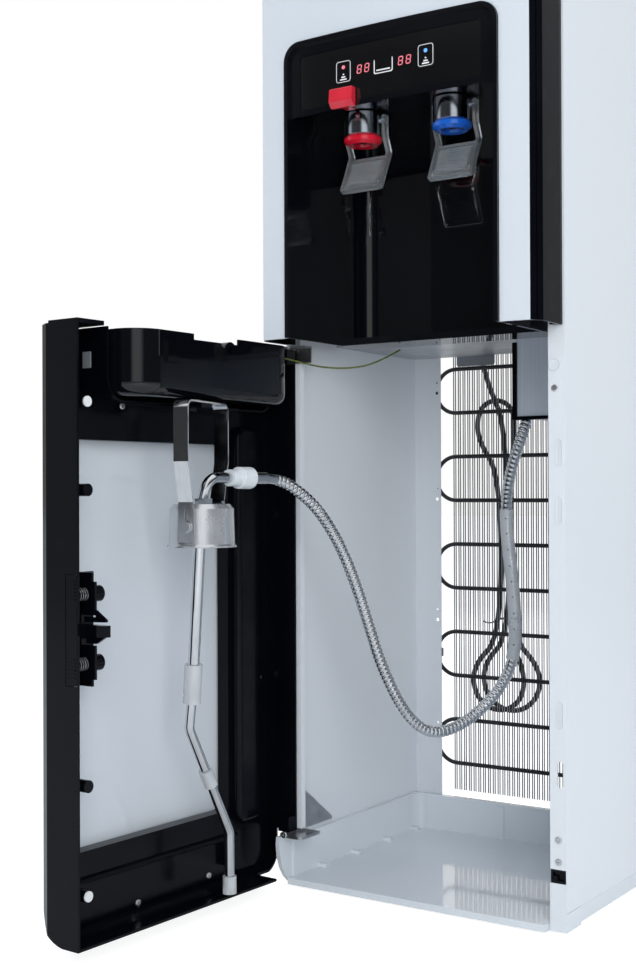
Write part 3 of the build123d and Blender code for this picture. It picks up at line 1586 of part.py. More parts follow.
hank_pitch = 7.0
hank_planes = [rear + 32.5 + hank_pitch * i for i in range(3)]
waist_low = 252.0
waist_high = 400.0
strand_right = -50.0
strand_left = -58.5
strand_last = -54.0
lead_arc_radius = 120.0
lead_arc_turn = math.radians(24.0)
tail_arc_radius = 200.0
tail_arc_turn = math.radians(28.0)

gland_nozzle = rear + 11.0


def cord_gland():
    """Strain relief in the rear panel: flange, neck and tapered nozzle."""
    neck = rod((gland_x, rear - 4, gland_z), (gland_x, rear + 1.2, gland_z), 7.0)
    flange = rod((gland_x, rear + 1.15, gland_z), (gland_x, rear + 4, gland_z), 9.5)
    nozzle = rod((gland_x, rear + 3.9, gland_z), (gland_x, gland_nozzle, gland_z), 5.2)
    return neck + fillet(flange.edges().group_by(Axis.Y)[-1], 1.2) + nozzle


write(cord_gland(), "cord_gland")

hank_start = (
    strand_right - lead_arc_radius * (1 - math.cos(lead_arc_turn)),
    hank_planes[0],
    450.0 + lead_arc_radius * math.sin(lead_arc_turn),
)
hank_entry = (math.sin(lead_arc_turn), 0, -math.cos(lead_arc_turn))
lead_route = [
    (gland_x, gland_nozzle, gland_z),
    (gland_x, gland_nozzle + 17, gland_z),
    (gland_x + 8, gland_nozzle + 34, gland_z - 4),
    (gland_x + 24, gland_nozzle + 41, gland_z - 14),
    (gland_x + 38, gland_nozzle + 33, gland_z - 29),
    (hank_start[0] - 34 * hank_entry[0], hank_planes[0], hank_start[2] - 34 * hank_entry[2]),
    hank_start,
]
write(tube_along(lead_route, cord_radius, "power_cord"), "power_cord")


def upright_bend(start, end):
    """Two equal arcs that shift an upright strand sideways."""
    middle = tuple((a + b) / 2 for a, b in zip(start, end))
    down = (0, 0, math.copysign(1.0, end[2] - start[2]))
    first = TangentArc(start, middle, tangent=down)
    second = TangentArc(middle, end, tangent=first % 1)
    return [first, second]


def turn_over(start, end, upward):
    """A half circle from one upright strand to the next."""
    radius = abs(end[0] - start[0]) / 2
    top = ((start[0] + end[0]) / 2, start[1], start[2] + math.copysign(radius, upward))
    return [ThreePointArc(start, top, end)]


def hank_edges():
    """The hank's centre line: down, up, down and up again, drawn in at the tie."""
    near, middle, far = hank_planes
    low_first, low_second, top = 180.0, 183.0, 487.0
    edges = [TangentArc(hank_start, (strand_right, near, 450), tangent=hank_entry)]
    edges.append(Line((strand_right, near, 450), (strand_right, near, waist_low)))
    edges += upright_bend((strand_right, near, waist_low), (-30, near, low_first))
    edges += turn_over((-30, near, low_first), (-95, near, low_first), -1)
    edges += upright_bend((-95, near, low_first), (strand_left, near, waist_low))
    edges.append(Line((strand_left, near, waist_low), (strand_left, near, waist_high)))
    edges += upright_bend((strand_left, near, waist_high), (-92, middle, top))
    edges += turn_over((-92, middle, top), (-44, middle, top), 1)
    edges += upright_bend((-44, middle, top), (strand_right, middle, waist_high))
    edges.append(Line((strand_right, middle, waist_high), (strand_right, middle, waist_low)))
    edges += upright_bend((strand_right, middle, waist_low), (-13, middle, low_second))
    edges += turn_over((-13, middle, low_second), (-85, middle, low_second), -1)
    edges += upright_bend((-85, middle, low_second), (strand_last, far, waist_low))
    edges.append(Line((strand_last, far, waist_low), (strand_last, far, waist_high)))
    edges.append(TangentArc((strand_last, far, waist_high), tail_end, tangent=(0, 0, 1)))
    return edges


tail_end = (
    strand_last + tail_arc_radius * (1 - math.cos(tail_arc_turn)),
    hank_planes[2],
    waist_high + tail_arc_radius * math.sin(tail_arc_turn),
)
tail_direction = Vector(math.sin(tail_arc_turn), 0, math.cos(tail_arc_turn))


def least_gap(edges, radius):
    """The least space between two stretches of one tube, on points 2 mm apart."""
    points = []
    travelled = 0.0
    for edge in edges:
        steps = max(2, int(edge.length / 2))
        for i in range(steps):
            points.append((travelled + edge.length * i / steps, edge @ (i / steps)))
        travelled += edge.length
    gaps = []
    for i, (s, p) in enumerate(points):
        for t, q in points[i + 1 :]:
            if t - s > 12 * radius:
                gaps.append((p - q).length)
    return min(gaps) - 2 * radius


def cord_hank():
    """The hank as one unbroken tube."""
    edges = hank_edges()
    path = Wire(edges)
    section = Plane(origin=hank_start, z_dir=hank_entry) * Circle(cord_radius)
    hank = sweep(section, path=path)
    print("cord_hank length", round(path.length, 1), "volume share", end=" ")
    print(round(hank.volume / (math.pi * cord_radius**2 * path.length), 4))
    print("cord_hank least gap", round(least_gap(edges, cord_radius), 2))
    return hank


write(cord_hank(), "cord_hank")


def mains_plug():
    """Moulded three-pin plug with its ribbed strain relief."""
    relief = Cylinder(4.6, 14, align=(Align.CENTER, Align.CENTER, Align.MIN))
    for z in (3, 6.5, 10):
        relief -= Pos(0, 0, z) * (Cylinder(6, 1.4) - Cylinder(3.7, 1.6))
    body = Pos(0, 0, 13.5) * Box(27, 20, 22, align=(Align.CENTER, Align.CENTER, Align.MIN))
    body = fillet(body.edges().filter_by(Axis.Z), 8)
    body = fillet(body.edges().group_by(Axis.Z)[0], 3)
    blades = Pos(-6.3, 2.5, 35) * Box(1.5, 6.3, 18, align=(Align.CENTER, Align.CENTER, Align.MIN))
    blades += Pos(6.3, 2.5, 35) * Box(1.5, 6.3, 18, align=(Align.CENTER, Align.CENTER, Align.MIN))
    ground = Pos(0, -5.5, 35) * Cylinder(2.4, 20, align=(Align.CENTER, Align.CENTER, Align.MIN))
    plug = relief + body + blades + ground
    place = Plane(origin=tail_end, x_dir=(0, 1, 0), z_dir=tail_direction)
    return place * plug


write(mains_plug(), "plug")
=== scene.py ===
import bpy
import math
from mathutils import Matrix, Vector


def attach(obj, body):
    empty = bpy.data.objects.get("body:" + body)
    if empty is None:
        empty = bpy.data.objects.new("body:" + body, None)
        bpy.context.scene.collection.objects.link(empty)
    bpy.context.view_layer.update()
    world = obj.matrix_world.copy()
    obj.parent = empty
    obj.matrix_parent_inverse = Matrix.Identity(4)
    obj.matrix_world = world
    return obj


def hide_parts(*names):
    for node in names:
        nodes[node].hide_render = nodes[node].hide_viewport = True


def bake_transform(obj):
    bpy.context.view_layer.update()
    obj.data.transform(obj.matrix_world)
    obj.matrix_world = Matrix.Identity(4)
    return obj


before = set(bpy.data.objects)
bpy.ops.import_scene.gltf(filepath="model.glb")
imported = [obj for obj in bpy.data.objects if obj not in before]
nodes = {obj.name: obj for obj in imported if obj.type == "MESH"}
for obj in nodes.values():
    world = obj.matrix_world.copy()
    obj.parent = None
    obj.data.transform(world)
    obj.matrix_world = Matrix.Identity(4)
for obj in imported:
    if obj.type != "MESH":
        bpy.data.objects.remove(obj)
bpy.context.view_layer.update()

# ---------------------------------------------------------------------------
# Camera: stands in front of the cooler's right corner, at the height of the bay.
# ---------------------------------------------------------------------------

camera = bpy.data.objects.new("camera", bpy.data.cameras.new("camera"))
bpy.context.scene.collection.objects.link(camera)
camera.data.lens = 51.63
camera.data.sensor_width = 36.0
camera.data.clip_start = 0.05
camera.location = (0.67758, -1.30769, 0.40261)
camera.rotation_euler = [math.radians(angle) for angle in (90.331, 0.203, 34.046)]
bpy.context.scene.camera = camera
bpy.context.scene.view_settings.view_transform = "Standard"

# ---------------------------------------------------------------------------
# Studio: a pale floor, a white surround and soft lamps. The surround is plain
# white to the camera and dim and bluish where it lights the object. Glossy and
# clear pieces mirror it as light and dark bands under a white canopy.
# ---------------------------------------------------------------------------


def clear_selection():
    """Leaves nothing selected, so that the next operator takes only its own."""
    bpy.ops.object.select_all(action="DESELECT")


def colour_mix(tree):
    """A mix of two colours: its factor, both its colours and its result."""
    mix = tree.nodes.new("ShaderNodeMix")
    mix.data_type = "RGBA"
    return mix.inputs[0], mix.inputs[6], mix.inputs[7], mix.outputs[2]


world = bpy.data.worlds.new("studio")
bpy.context.scene.world = world
world.use_nodes = True
surround = world.node_tree
surround.nodes.clear()
out = surround.nodes.new("ShaderNodeOutputWorld")
rays = surround.nodes.new("ShaderNodeLightPath")
coords = surround.nodes.new("ShaderNodeTexCoord")
compass = surround.nodes.new("ShaderNodeTexGradient")
compass.gradient_type = "RADIAL"
bands = surround.nodes.new("ShaderNodeValToRGB")
bands.color_ramp.interpolation = "EASE"
for end in bands.color_ramp.elements:
    end.color = (0.3, 0.3, 0.3, 1)
for turn, light in (
    (0.06, 0.75),
    (0.10, 0.55),
    (0.142, 0.05),
    (0.29, 0.035),
    (0.335, 0.95),
    (0.385, 0.95),
    (0.44, 0.06),
    (0.66, 0.05),
    (0.72, 1.0),
    (0.86, 1.0),
    (0.93, 0.25),
):
    band = bands.color_ramp.elements.new(turn)
    band.color = (light, light, light, 1)
height = surround.nodes.new("ShaderNodeSeparateXYZ")
overhead = surround.nodes.new("ShaderNodeMapRange")
overhead.inputs["From Min"].default_value = 0.3
overhead.inputs["From Max"].default_value = 0.7
canopy_share, canopy_below, canopy_above, canopy_light = colour_mix(surround)
canopy_above.default_value = (1, 1, 1, 1)
seen = surround.nodes.new("ShaderNodeBackground")
mirrored = surround.nodes.new("ShaderNodeBackground")
ambient = surround.nodes.new("ShaderNodeBackground")
seen.inputs["Color"].default_value = (1, 1, 1, 1)
ambient.inputs["Color"].default_value = (0.86, 0.93, 1.0, 1)
ambient.inputs["Strength"].default_value = 0.6
shiny = surround.nodes.new("ShaderNodeMath")
shiny.operation = "MAXIMUM"
mix_mirror = surround.nodes.new("ShaderNodeMixShader")
mix_camera = surround.nodes.new("ShaderNodeMixShader")
link = surround.links.new
link(coords.outputs["Generated"], compass.inputs["Vector"])
link(compass.outputs["Fac"], bands.inputs["Fac"])
link(coords.outputs["Generated"], height.inputs[0])
link(height.outputs["Z"], overhead.inputs["Value"])
link(overhead.outputs["Result"], canopy_share)
link(bands.outputs["Color"], canopy_below)
link(canopy_light, mirrored.inputs["Color"])
link(rays.outputs["Is Glossy Ray"], shiny.inputs[0])
link(rays.outputs["Is Transmission Ray"], shiny.inputs[1])
link(shiny.outputs[0], mix_mirror.inputs["Fac"])
link(ambient.outputs[0], mix_mirror.inputs[1])
link(mirrored.outputs[0], mix_mirror.inputs[2])
link(rays.outputs["Is Camera Ray"], mix_camera.inputs["Fac"])
link(mix_mirror.outputs[0], mix_camera.inputs[1])
link(seen.outputs[0], mix_camera.inputs[2])
link(mix_camera.outputs[0], out.inputs["Surface"])

clear_selection()
bpy.ops.mesh.primitive_plane_add(size=40, location=(0, 0, 0))
floor = bpy.context.active_object
floor.name = "floor"
floor_paint = bpy.data.materials.new("studio_floor")
floor_paint.use_nodes = True
tree = floor_paint.node_tree
tree.nodes.clear()
out = tree.nodes.new("ShaderNodeOutputMaterial")
rays = tree.nodes.new("ShaderNodeLightPath")
paint = tree.nodes.new("ShaderNodeBsdfDiffuse")
paint.inputs["Color"].default_value = (0.8, 0.8, 0.8, 1)
glow = tree.nodes.new("ShaderNodeEmission")
glow.inputs["Strength"].default_value = 2.0
glow_share = tree.nodes.new("ShaderNodeMath")
glow_share.operation = "MULTIPLY"
glow_share.inputs[1].default_value = 0.4
blend = tree.nodes.new("ShaderNodeMixShader")
tree.links.new(rays.outputs["Is Camera Ray"], glow_share.inputs[0])
tree.links.new(glow_share.outputs[0], blend.inputs["Fac"])
tree.links.new(paint.outputs[0], blend.inputs[1])
tree.links.new(glow.outputs[0], blend.inputs[2])
tree.links.new(blend.outputs[0], out.inputs["Surface"])
floor.data.materials.append(floor_paint)

softboxes = (
    ("key_softbox", (1.9, -2.3, 1.15), (0, 0, 0.5), (1.4, 2.0), 46.0, (1.0, 0.99, 0.98)),
    ("left_softbox", (-2.1, -2.2, 1.5), (-0.1, 0, 0.5), (1.0, 1.8), 8.0, (0.97, 0.99, 1.0)),
    ("right_softbox", (2.8, 0.5, 1.2), (0.1, 0, 0.5), (1.6, 2.0), 6.0, (0.97, 0.99, 1.0)),
    ("top_softbox", (0.2, -0.6, 3.0), (0, 0, 0.5), (2.2, 2.2), 16.0, (1.0, 1.0, 1.0)),
    ("rear_softbox", (-1.2, 2.6, 1.6), (0, 0, 0.5), (2.0, 2.0), 20.0, (0.98, 0.99, 1.0)),
)
for name, place, target, size, power, colour in softboxes:
    lamp = bpy.data.objects.new(name, bpy.data.lights.new(name, "AREA"))
    bpy.context.scene.collection.objects.link(lamp)
    lamp.data.shape = "RECTANGLE"
    lamp.data.size, lamp.data.size_y = size
    lamp.data.energy = power
    lamp.data.color = colour
    lamp.location = place
    lamp.visible_glossy = False
    lamp.rotation_euler = (Vector(target) - Vector(place)).to_track_quat("-Z", "Y").to_euler()

# ---------------------------------------------------------------------------
# Mains lead: a round cord in black rubber, held by the gland in the rear panel
# and wound into a slim hank behind the condenser, where a thin tie holds it. A
# plug is moulded on its end.
# ---------------------------------------------------------------------------


def half_turn(x_from, x_to, y, z, side):
    """Control points of a half circle between two upright strands."""
    radius = abs(x_to - x_from) / 2
    middle = (x_from + x_to) / 2
    towards = 1 if x_from > x_to else -1
    reach = radius / math.cos(math.radians(22.5))
    corners = []
    for degrees in (22.5, 67.5, 112.5, 157.5):
        angle = math.radians(degrees)
        x = middle + towards * reach * math.cos(angle)
        corners.append((x, y, z + side * reach * math.sin(angle)))
    return corners


def smooth_line(name, points):
    """Points read along the smooth curve that control points in millimetres pull
    on; it starts at the first and ends at the last."""
    data = bpy.data.curves.new(name, "CURVE")
    data.dimensions = "3D"
    data.resolution_u = 24
    spline = data.splines.new("NURBS")
    spline.points.add(len(points) - 1)
    for knot, (x, y, z) in zip(spline.points, points):
        knot.co = (x / 1000, y / 1000, z / 1000, 1)
    spline.order_u = 3
    spline.use_endpoint_u = True
    curve = bpy.data.objects.new(name, data)
    bpy.context.scene.collection.objects.link(curve)
    mesh = bpy.data.meshes.new_from_object(curve)
    bpy.data.objects.remove(curve)
    return [vertex.co.copy() for vertex in mesh.vertices]


def along_line(line):
    """Distances from the line's start to each of its points."""
    travelled = [0.0]
    for before, after in zip(line, line[1:]):
        travelled.append(travelled[-1] + (after - before).length)
    return travelled


def even_profile(length, radius, steps):
    """Rings of one radius at even distances, for a tube of that length."""
    return [(length * step / steps, radius) for step in range(steps + 1)]


def round_tube(name, line, profile, sides):
    """A closed tube along a line; profile holds (distance, radius) pairs. Gives
    the tube and the centres of its rings."""
    travelled = along_line(line)
    ahead = (line[1] - line[0]).normalized()
    across = ahead.orthogonal().normalized()
    centres = []
    corners = []
    step = 0
    for distance, radius in profile:
        while step < len(line) - 2 and travelled[step + 1] < distance:
            step += 1
        share = (distance - travelled[step]) / (travelled[step + 1] - travelled[step])
        centre = line[step].lerp(line[step + 1], share)
        turn = ahead.rotation_difference(line[step + 1] - line[step])
        ahead = (line[step + 1] - line[step]).normalized()
        across = turn @ across
        up = ahead.cross(across)
        centres.append(centre)
        for side in range(sides):
            angle = 2 * math.pi * side / sides
            corners.append(centre + radius * (math.cos(angle) * across + math.sin(angle) * up))
    faces = [tuple(reversed(range(sides)))]
    for first in range(0, len(corners) - sides, sides):
        for side in range(sides):
            after = (side + 1) % sides
            faces.append((first + side, first + after, first + sides + after, first + sides + side))
    faces.append(tuple(range(len(corners) - sides, len(corners))))
    mesh = bpy.data.meshes.new(name)
    mesh.from_pydata(corners, [], faces)
    mesh.update()
    tube = bpy.data.objects.new(name, mesh)
    bpy.context.scene.collection.objects.link(tube)
    return tube, centres


def pattern_group(name, wanted):
    """An empty node group that reads object coordinates and gives a relief, a
    broad tone and a mask of smudges, all between 0 and 1."""
    group = bpy.data.node_groups.new(name, "ShaderNodeTree")
    for label, kind, value in wanted:
        socket = group.interface.new_socket(name=label, in_out="INPUT", socket_type=kind)
        socket.default_value = value
    for label in ("Relief", "Tone", "Smudge"):
        group.interface.new_socket(name=label, in_out="OUTPUT", socket_type="NodeSocketFloat")
    given = group.nodes.new("NodeGroupInput")
    result = group.nodes.new("NodeGroupOutput")
    place = group.nodes.new("ShaderNodeTexCoord").outputs["Object"]
    return group, given, result, place


def noise_in(group, place, scale, detail):
    """A noise texture; its scale is a number or a socket."""
    noise = group.nodes.new("ShaderNodeTexNoise")
    group.links.new(place, noise.inputs["Vector"])
    noise.inputs["Detail"].default_value = detail
    if isinstance(scale, float):
        noise.inputs["Scale"].default_value = scale
    else:
        group.links.new(scale, noise.inputs["Scale"])
    return noise.outputs["Fac"]


def stretched(group, value, low, high):
    """Spreads the values between low and high over 0 to 1."""
    spread = group.nodes.new("ShaderNodeMapRange")
    spread.inputs["From Min"].default_value = low
    spread.inputs["From Max"].default_value = high
    group.links.new(value, spread.inputs["Value"])
    return spread.outputs["Result"]


def finish(name, pattern, scales, tones, gloss, relief, **sockets):
    """A material: tones are its colours at both ends of the broad tone, gloss its
    roughness clean and smudged, relief the strength and depth of its bump."""
    material = bpy.data.materials.new(name)
    material.use_nodes = True
    tree = material.node_tree
    shader = tree.nodes["Principled BSDF"]
    group = tree.nodes.new("ShaderNodeGroup")
    group.node_tree = pattern
    for label, value in scales.items():
        group.inputs[label].default_value = value
    share, first, second, colour = colour_mix(tree)
    first.default_value = (*tones[0], 1)
    second.default_value = (*tones[1], 1)
    tree.links.new(group.outputs["Tone"], share)
    tree.links.new(colour, shader.inputs["Base Color"])
    rough = tree.nodes.new("ShaderNodeMapRange")
    rough.inputs["To Min"].default_value, rough.inputs["To Max"].default_value = gloss
    tree.links.new(group.outputs["Smudge"], rough.inputs["Value"])
    tree.links.new(rough.outputs["Result"], shader.inputs["Roughness"])
    bump = tree.nodes.new("ShaderNodeBump")
    bump.inputs["Strength"].default_value, bump.inputs["Distance"].default_value = relief
    tree.links.new(group.outputs["Relief"], bump.inputs["Height"])
    tree.links.new(bump.outputs["Normal"], shader.inputs["Normal"])
    for label, value in sockets.items():
        shader.inputs[label.replace("_", " ")].default_value = value
    return material


def dress(material, *names):
    """Gives the named pieces of the frame their material."""
    for name in names:
        for slot in nodes[name].material_slots:
            slot.material = material


grain, given, result, place = pattern_group(
    "moulded_grain", [("Grains", "NodeSocketFloat", 1800.0), ("Flow", "NodeSocketFloat", 8.0)]
)
fine = noise_in(grain, place, given.outputs["Grains"], 3.0)
flow = noise_in(grain, place, given.outputs["Flow"], 2.0)
grain.links.new(fine, result.inputs["Relief"])
grain.links.new(stretched(grain, flow, 0.3, 0.7), result.inputs["Tone"])
dust = noise_in(grain, place, 60.0, 8.0)
grain.links.new(stretched(grain, dust, 0.55, 0.75), result.inputs["Smudge"])

black_rubber = finish(
    "black_rubber_skin",
    grain,
    {"Grains": 1500.0, "Flow": 12.0},
    tones=((0.008, 0.009, 0.012), (0.014, 0.015, 0.019)),
    gloss=(0.42, 0.62),
    relief=(0.25, 0.0003),
)
dress(black_rubber, "cord_gland", "plug")

lead_points = [
    (-124, 143, 583),
    (-124, 160, 583),
    (-116, 177, 579),
    (-100, 184, 569),
    (-86, 176, 554),
    (-74.2, 164.5, 529.9),
    (-50, 164.5, 475.4),
    (-50, 164.5, 234),
    (-30, 164.5, 198),
    *half_turn(-30, -95, 164.5, 180, -1),
    (-95, 164.5, 198),
    (-58.5, 164.5, 234),
    (-58.5, 164.5, 422),
    (-92, 171.5, 465),
    *half_turn(-92, -44, 171.5, 487, 1),
    (-44, 171.5, 465),
    (-50, 171.5, 422),
    (-50, 171.5, 235),
    (-13, 171.5, 200),
    *half_turn(-13, -85, 171.5, 183, -1),
    (-85, 171.5, 200),
    (-54, 178.5, 235),
    (-54, 178.5, 449.9),
    (-30.6, 178.5, 493.9),
]
lead_line = smooth_line("lead_route", lead_points)
lead_length = along_line(lead_line)[-1]
lead_radius = 0.003
lead_profile = even_profile(lead_length, lead_radius, steps=700)
mains_cord, lead_centres = round_tube("mains_cord", lead_line, lead_profile, sides=16)
mains_cord.data.materials.append(black_rubber)
for polygon in mains_cord.data.polygons:
    polygon.use_smooth = len(polygon.vertices) == 4
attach(mains_cord, "cabinet")
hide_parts("power_cord", "cord_hank")

# ---------------------------------------------------------------------------
# Earth wire: a thin copper wire in a green and yellow plastic sheath. It is
# fixed to the drip pocket on the door and inside the cabinet, and hangs free
# between the two.
# ---------------------------------------------------------------------------

streaks, given, result, place = pattern_group(
    "drawn_streaks",
    [("Stretch", "NodeSocketVector", (1.0, 1.0, 1.0)), ("Patches", "NodeSocketFloat", 10.0)],
)
squeeze = streaks.nodes.new("ShaderNodeVectorMath")
squeeze.operation = "MULTIPLY"
streaks.links.new(place, squeeze.inputs[0])
streaks.links.new(given.outputs["Stretch"], squeeze.inputs[1])
lines = noise_in(streaks, squeeze.outputs[0], 1.0, 5.0)
streaks.links.new(lines, result.inputs["Relief"])
streaks.links.new(stretched(streaks, lines, 0.3, 0.7), result.inputs["Tone"])
prints = noise_in(streaks, place, given.outputs["Patches"], 5.0)
streaks.links.new(stretched(streaks, prints, 0.45, 0.7), result.inputs["Smudge"])

earth_green = finish(
    "earth_green_yellow",
    streaks,
    {"Stretch": (260.0, 260.0, 260.0), "Patches": 40.0},
    tones=((0.012, 0.06, 0.02), (0.16, 0.17, 0.015)),
    gloss=(0.3, 0.45),
    relief=(0.03, 0.0001),
)

wire_points = [
    (-144.9, -161.2, 541),
    (-132.5, -142, 536.5),
    (-121, -120, 532),
    (-101, -98, 531),
    (-80, -76, 537),
    (-64, -56, 552),
]
wire_line = smooth_line("wire_route", wire_points)
wire_length = along_line(wire_line)[-1]
wire_radius = 0.0009
wire_profile = even_profile(wire_length, wire_radius, steps=60)
earth_wire, wire_centres = round_tube("earth_lead", wire_line, wire_profile, sides=10)
earth_wire.data.materials.append(earth_green)
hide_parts("earth_wire")
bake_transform(earth_wire)

# ---------------------------------------------------------------------------
# Suction hose: corrugated stainless hose, held by the pump box at one end and by
# the probe's ferrule at the other. A smooth sleeve of clear silicone is pushed
# over its upright middle stretch, with a row of small dark dots down its side.
# ---------------------------------------------------------------------------

polished_steel = finish(
    "polished_stainless",
    streaks,
    {"Stretch": (260.0, 260.0, 40.0), "Patches": 35.0},
    tones=((0.60, 0.62, 0.65), (0.70, 0.72, 0.75)),
    gloss=(0.09, 0.2),
    relief=(0.02, 0.0001),
    Metallic=1.0,
)

hose_points = [
    (58, -2, 498),
    (57.5, -2.4, 484),
    (51, -9, 456),
    (41, -12, 425),
    (36, -13, 392),
    (37, -12, 356),
    (40, -8, 318),
    (41, -4, 282),
    (42, -4, 246),
    (37, -9, 216),
    (23, -24, 188),
    (2, -46, 165),
    (-14, -74, 158),
    (-27, -94, 170),
    (-38, -112, 199),
    (-48, -126, 236),
    (-55, -137, 276),
    (-62, -149, 316),
    (-71, -163, 354),
    (-84, -181, 388),
    (-98, -203, 409),
    (-108.7, -219.8, 417),
    (-109.3, -233.8, 417),
]
hose_line = smooth_line("hose_route", hose_points)
hose_travelled = along_line(hose_line)
hose_length = hose_travelled[-1]
cuff = 0.012
cuff_radius = 0.0053
rib_pitch = 0.0046
rib = ((0.06, 0.0052), (0.2, 0.0057), (0.45, 0.0059), (0.7, 0.0057), (0.9, 0.0052))
hose_profile = [(0.0, cuff_radius), (cuff, cuff_radius)]
rib_start = cuff
while rib_start + rib_pitch < hose_length - cuff:
    for share, radius in rib:
        hose_profile.append((rib_start + share * rib_pitch, radius))
    rib_start += rib_pitch
hose_profile += [(hose_length - cuff, cuff_radius), (hose_length, cuff_radius)]
ribbed_hose, hose_centres = round_tube("suction_hose", hose_line, hose_profile, sides=20)
ribbed_hose.data.materials.append(polished_steel)
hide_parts("hose")
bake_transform(ribbed_hose)

peel, given, result, place = pattern_group(
    "orange_peel", [("Cells", "NodeSocketFloat", 700.0), ("Patches", "NodeSocketFloat", 5.0)]
)
peel.links.new(noise_in(peel, place, given.outputs["Cells"], 2.0), result.inputs["Relief"])
broad = noise_in(peel, place, given.outputs["Patches"], 3.0)
peel.links.new(stretched(peel, broad, 0.35, 0.65), result.inputs["Tone"])
smudge = noise_in(peel, place, 38.0, 6.0)
peel.links.new(stretched(peel, smudge, 0.52, 0.72), result.inputs["Smudge"])

silicone = finish(
    "clear_silicone",
    peel,
    {"Cells": 320.0, "Patches": 35.0},
    tones=((0.80, 0.84, 0.88), (0.88, 0.91, 0.94)),
    gloss=(0.2, 0.34),
    relief=(0.05, 0.0003),
    Transmission_Weight=0.55,
    IOR=1.41,
)

sleeve_bore, sleeve_radius = 0.0061, 0.0068
sleeve_start, sleeve_run = 0.1162, 0.1556
sleeve_profile = [(0.116, sleeve_bore), (sleeve_start, sleeve_radius)]
sleeve_profile += [(sleeve_start + sleeve_run * step / 40, sleeve_radius) for step in range(1, 41)]
sleeve_profile.append((0.272, sleeve_bore))
hose_sleeve, _ = round_tube("hose_sleeve", hose_line, sleeve_profile, sides=24)
hose_sleeve.data.materials.append(silicone)
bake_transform(hose_sleeve)


def joined(name, pieces):
    """One object out of several, with its place in its mesh."""
    clear_selection()
    for piece in pieces:
        piece.select_set(True)
    bpy.context.view_layer.objects.active = pieces[0]
    if len(pieces) > 1:
        bpy.ops.object.join()
    bpy.ops.object.transform_apply(location=True, rotation=True, scale=True)
    whole = bpy.context.active_object
    whole.name = name
    whole.data.name = name
    return whole


def sleeve_dot(distance):
    """A small dark bead on the side of the hose's sleeve that faces right."""
    step = next(number for number, reach in enumerate(hose_travelled) if reach >= distance)
    clear_selection()
    bpy.ops.mesh.primitive_uv_sphere_add(segments=16, ring_count=8, radius=0.0009)
    bead = bpy.context.active_object
    bead.scale = (1, 1, 0.7)
    bead.location = hose_line[step] + Vector((0.0021, -0.0062, 0))
    return bead


first_dot, dot_pitch = 0.124, 0.0165
sleeve_dots = joined("sleeve_dots", [sleeve_dot(first_dot + dot_pitch * dot) for dot in range(9)])
sleeve_dots.data.materials.append(black_rubber)
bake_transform(sleeve_dots)

# ---------------------------------------------------------------------------
# Cabinet shell: side panels of steel sheet with hemmed flanges, in white powder
# coat, and a moulded top cover in the same white. The back is a loose sheet with
# louvres, screwed to the panels' rear flanges.
# ---------------------------------------------------------------------------

white_coat = finish(
    "white_powder_coat",
    peel,
    {"Cells": 900.0, "Patches": 4.0},
    tones=((0.735, 0.775, 0.825), (0.742, 0.782, 0.83)),
    gloss=(0.3, 0.34),
    relief=(0.08, 0.0002),
    Coat_Weight=0.25,
    Coat_Roughness=0.12,
)
dress(white_coat, "left_side_panel", "right_side_panel", "top_cover", "rear_panel")

# ---------------------------------------------------------------------------
# Base: one glossy white moulding that the bottle stands in, with a shallow rim
# and low ribs, on four rubber glides. The deck between the bay and the machinery
# above it is zinc-coated sheet, fixed between the side panels.
# ---------------------------------------------------------------------------

base_white = finish(
    "base_white_moulding",
    peel,
    {"Cells": 260.0, "Patches": 9.0},
    tones=((0.70, 0.755, 0.81), (0.73, 0.78, 0.83)),
    gloss=(0.08, 0.2),
    relief=(0.05, 0.0004),
    Coat_Weight=0.6,
    Coat_Roughness=0.05,
)
dress(base_white, "base_tray")
dress(black_rubber, "foot_pads")

zinc = finish(
    "zinc_sheet",
    streaks,
    {"Stretch": (60.0, 60.0, 60.0), "Patches": 30.0},
    tones=((0.42, 0.43, 0.45), (0.6, 0.61, 0.63)),
    gloss=(0.3, 0.48),
    relief=(0.08, 0.0002),
    Metallic=1.0,
)
dress(zinc, "deck_plate")

# ---------------------------------------------------------------------------
# Front: the bowed upper panel and the door's skin are high-gloss white mouldings
# between satin black strips. The niche's liner and the drip tray with its pocket
# are gloss black. Latch and door frame are satin black, the hinges zinc sheet.
# ---------------------------------------------------------------------------

gloss_white = finish(
    "gloss_white_moulding",
    peel,
    {"Cells": 120.0, "Patches": 3.0},
    tones=((0.655, 0.705, 0.765), (0.68, 0.725, 0.78)),
    gloss=(0.06, 0.12),
    relief=(0.025, 0.0004),
    Coat_Weight=0.8,
    Coat_Roughness=0.03,
)
dress(gloss_white, "upper_front_panel", "door_skin")

gloss_black = finish(
    "gloss_black_moulding",
    peel,
    {"Cells": 90.0, "Patches": 6.0},
    tones=((0.0022, 0.0026, 0.0042), (0.0034, 0.004, 0.0062)),
    gloss=(0.035, 0.09),
    relief=(0.03, 0.0004),
    Specular_IOR_Level=0.55,
)
dress(gloss_black, "niche_liner", "drip_pocket", "drip_tray")

satin_black = finish(
    "satin_black_moulding",
    grain,
    {"Grains": 1300.0, "Flow": 7.0},
    tones=((0.0012, 0.0015, 0.003), (0.0024, 0.003, 0.0052)),
    gloss=(0.16, 0.28),
    relief=(0.05, 0.0002),
    Specular_IOR_Level=0.16,
)
dress(satin_black, "front_trims", "door_frame", "latch_housing", "latch_slider", "hinge_slot_plug")
dress(zinc, "upper_hinge", "lower_hinge")
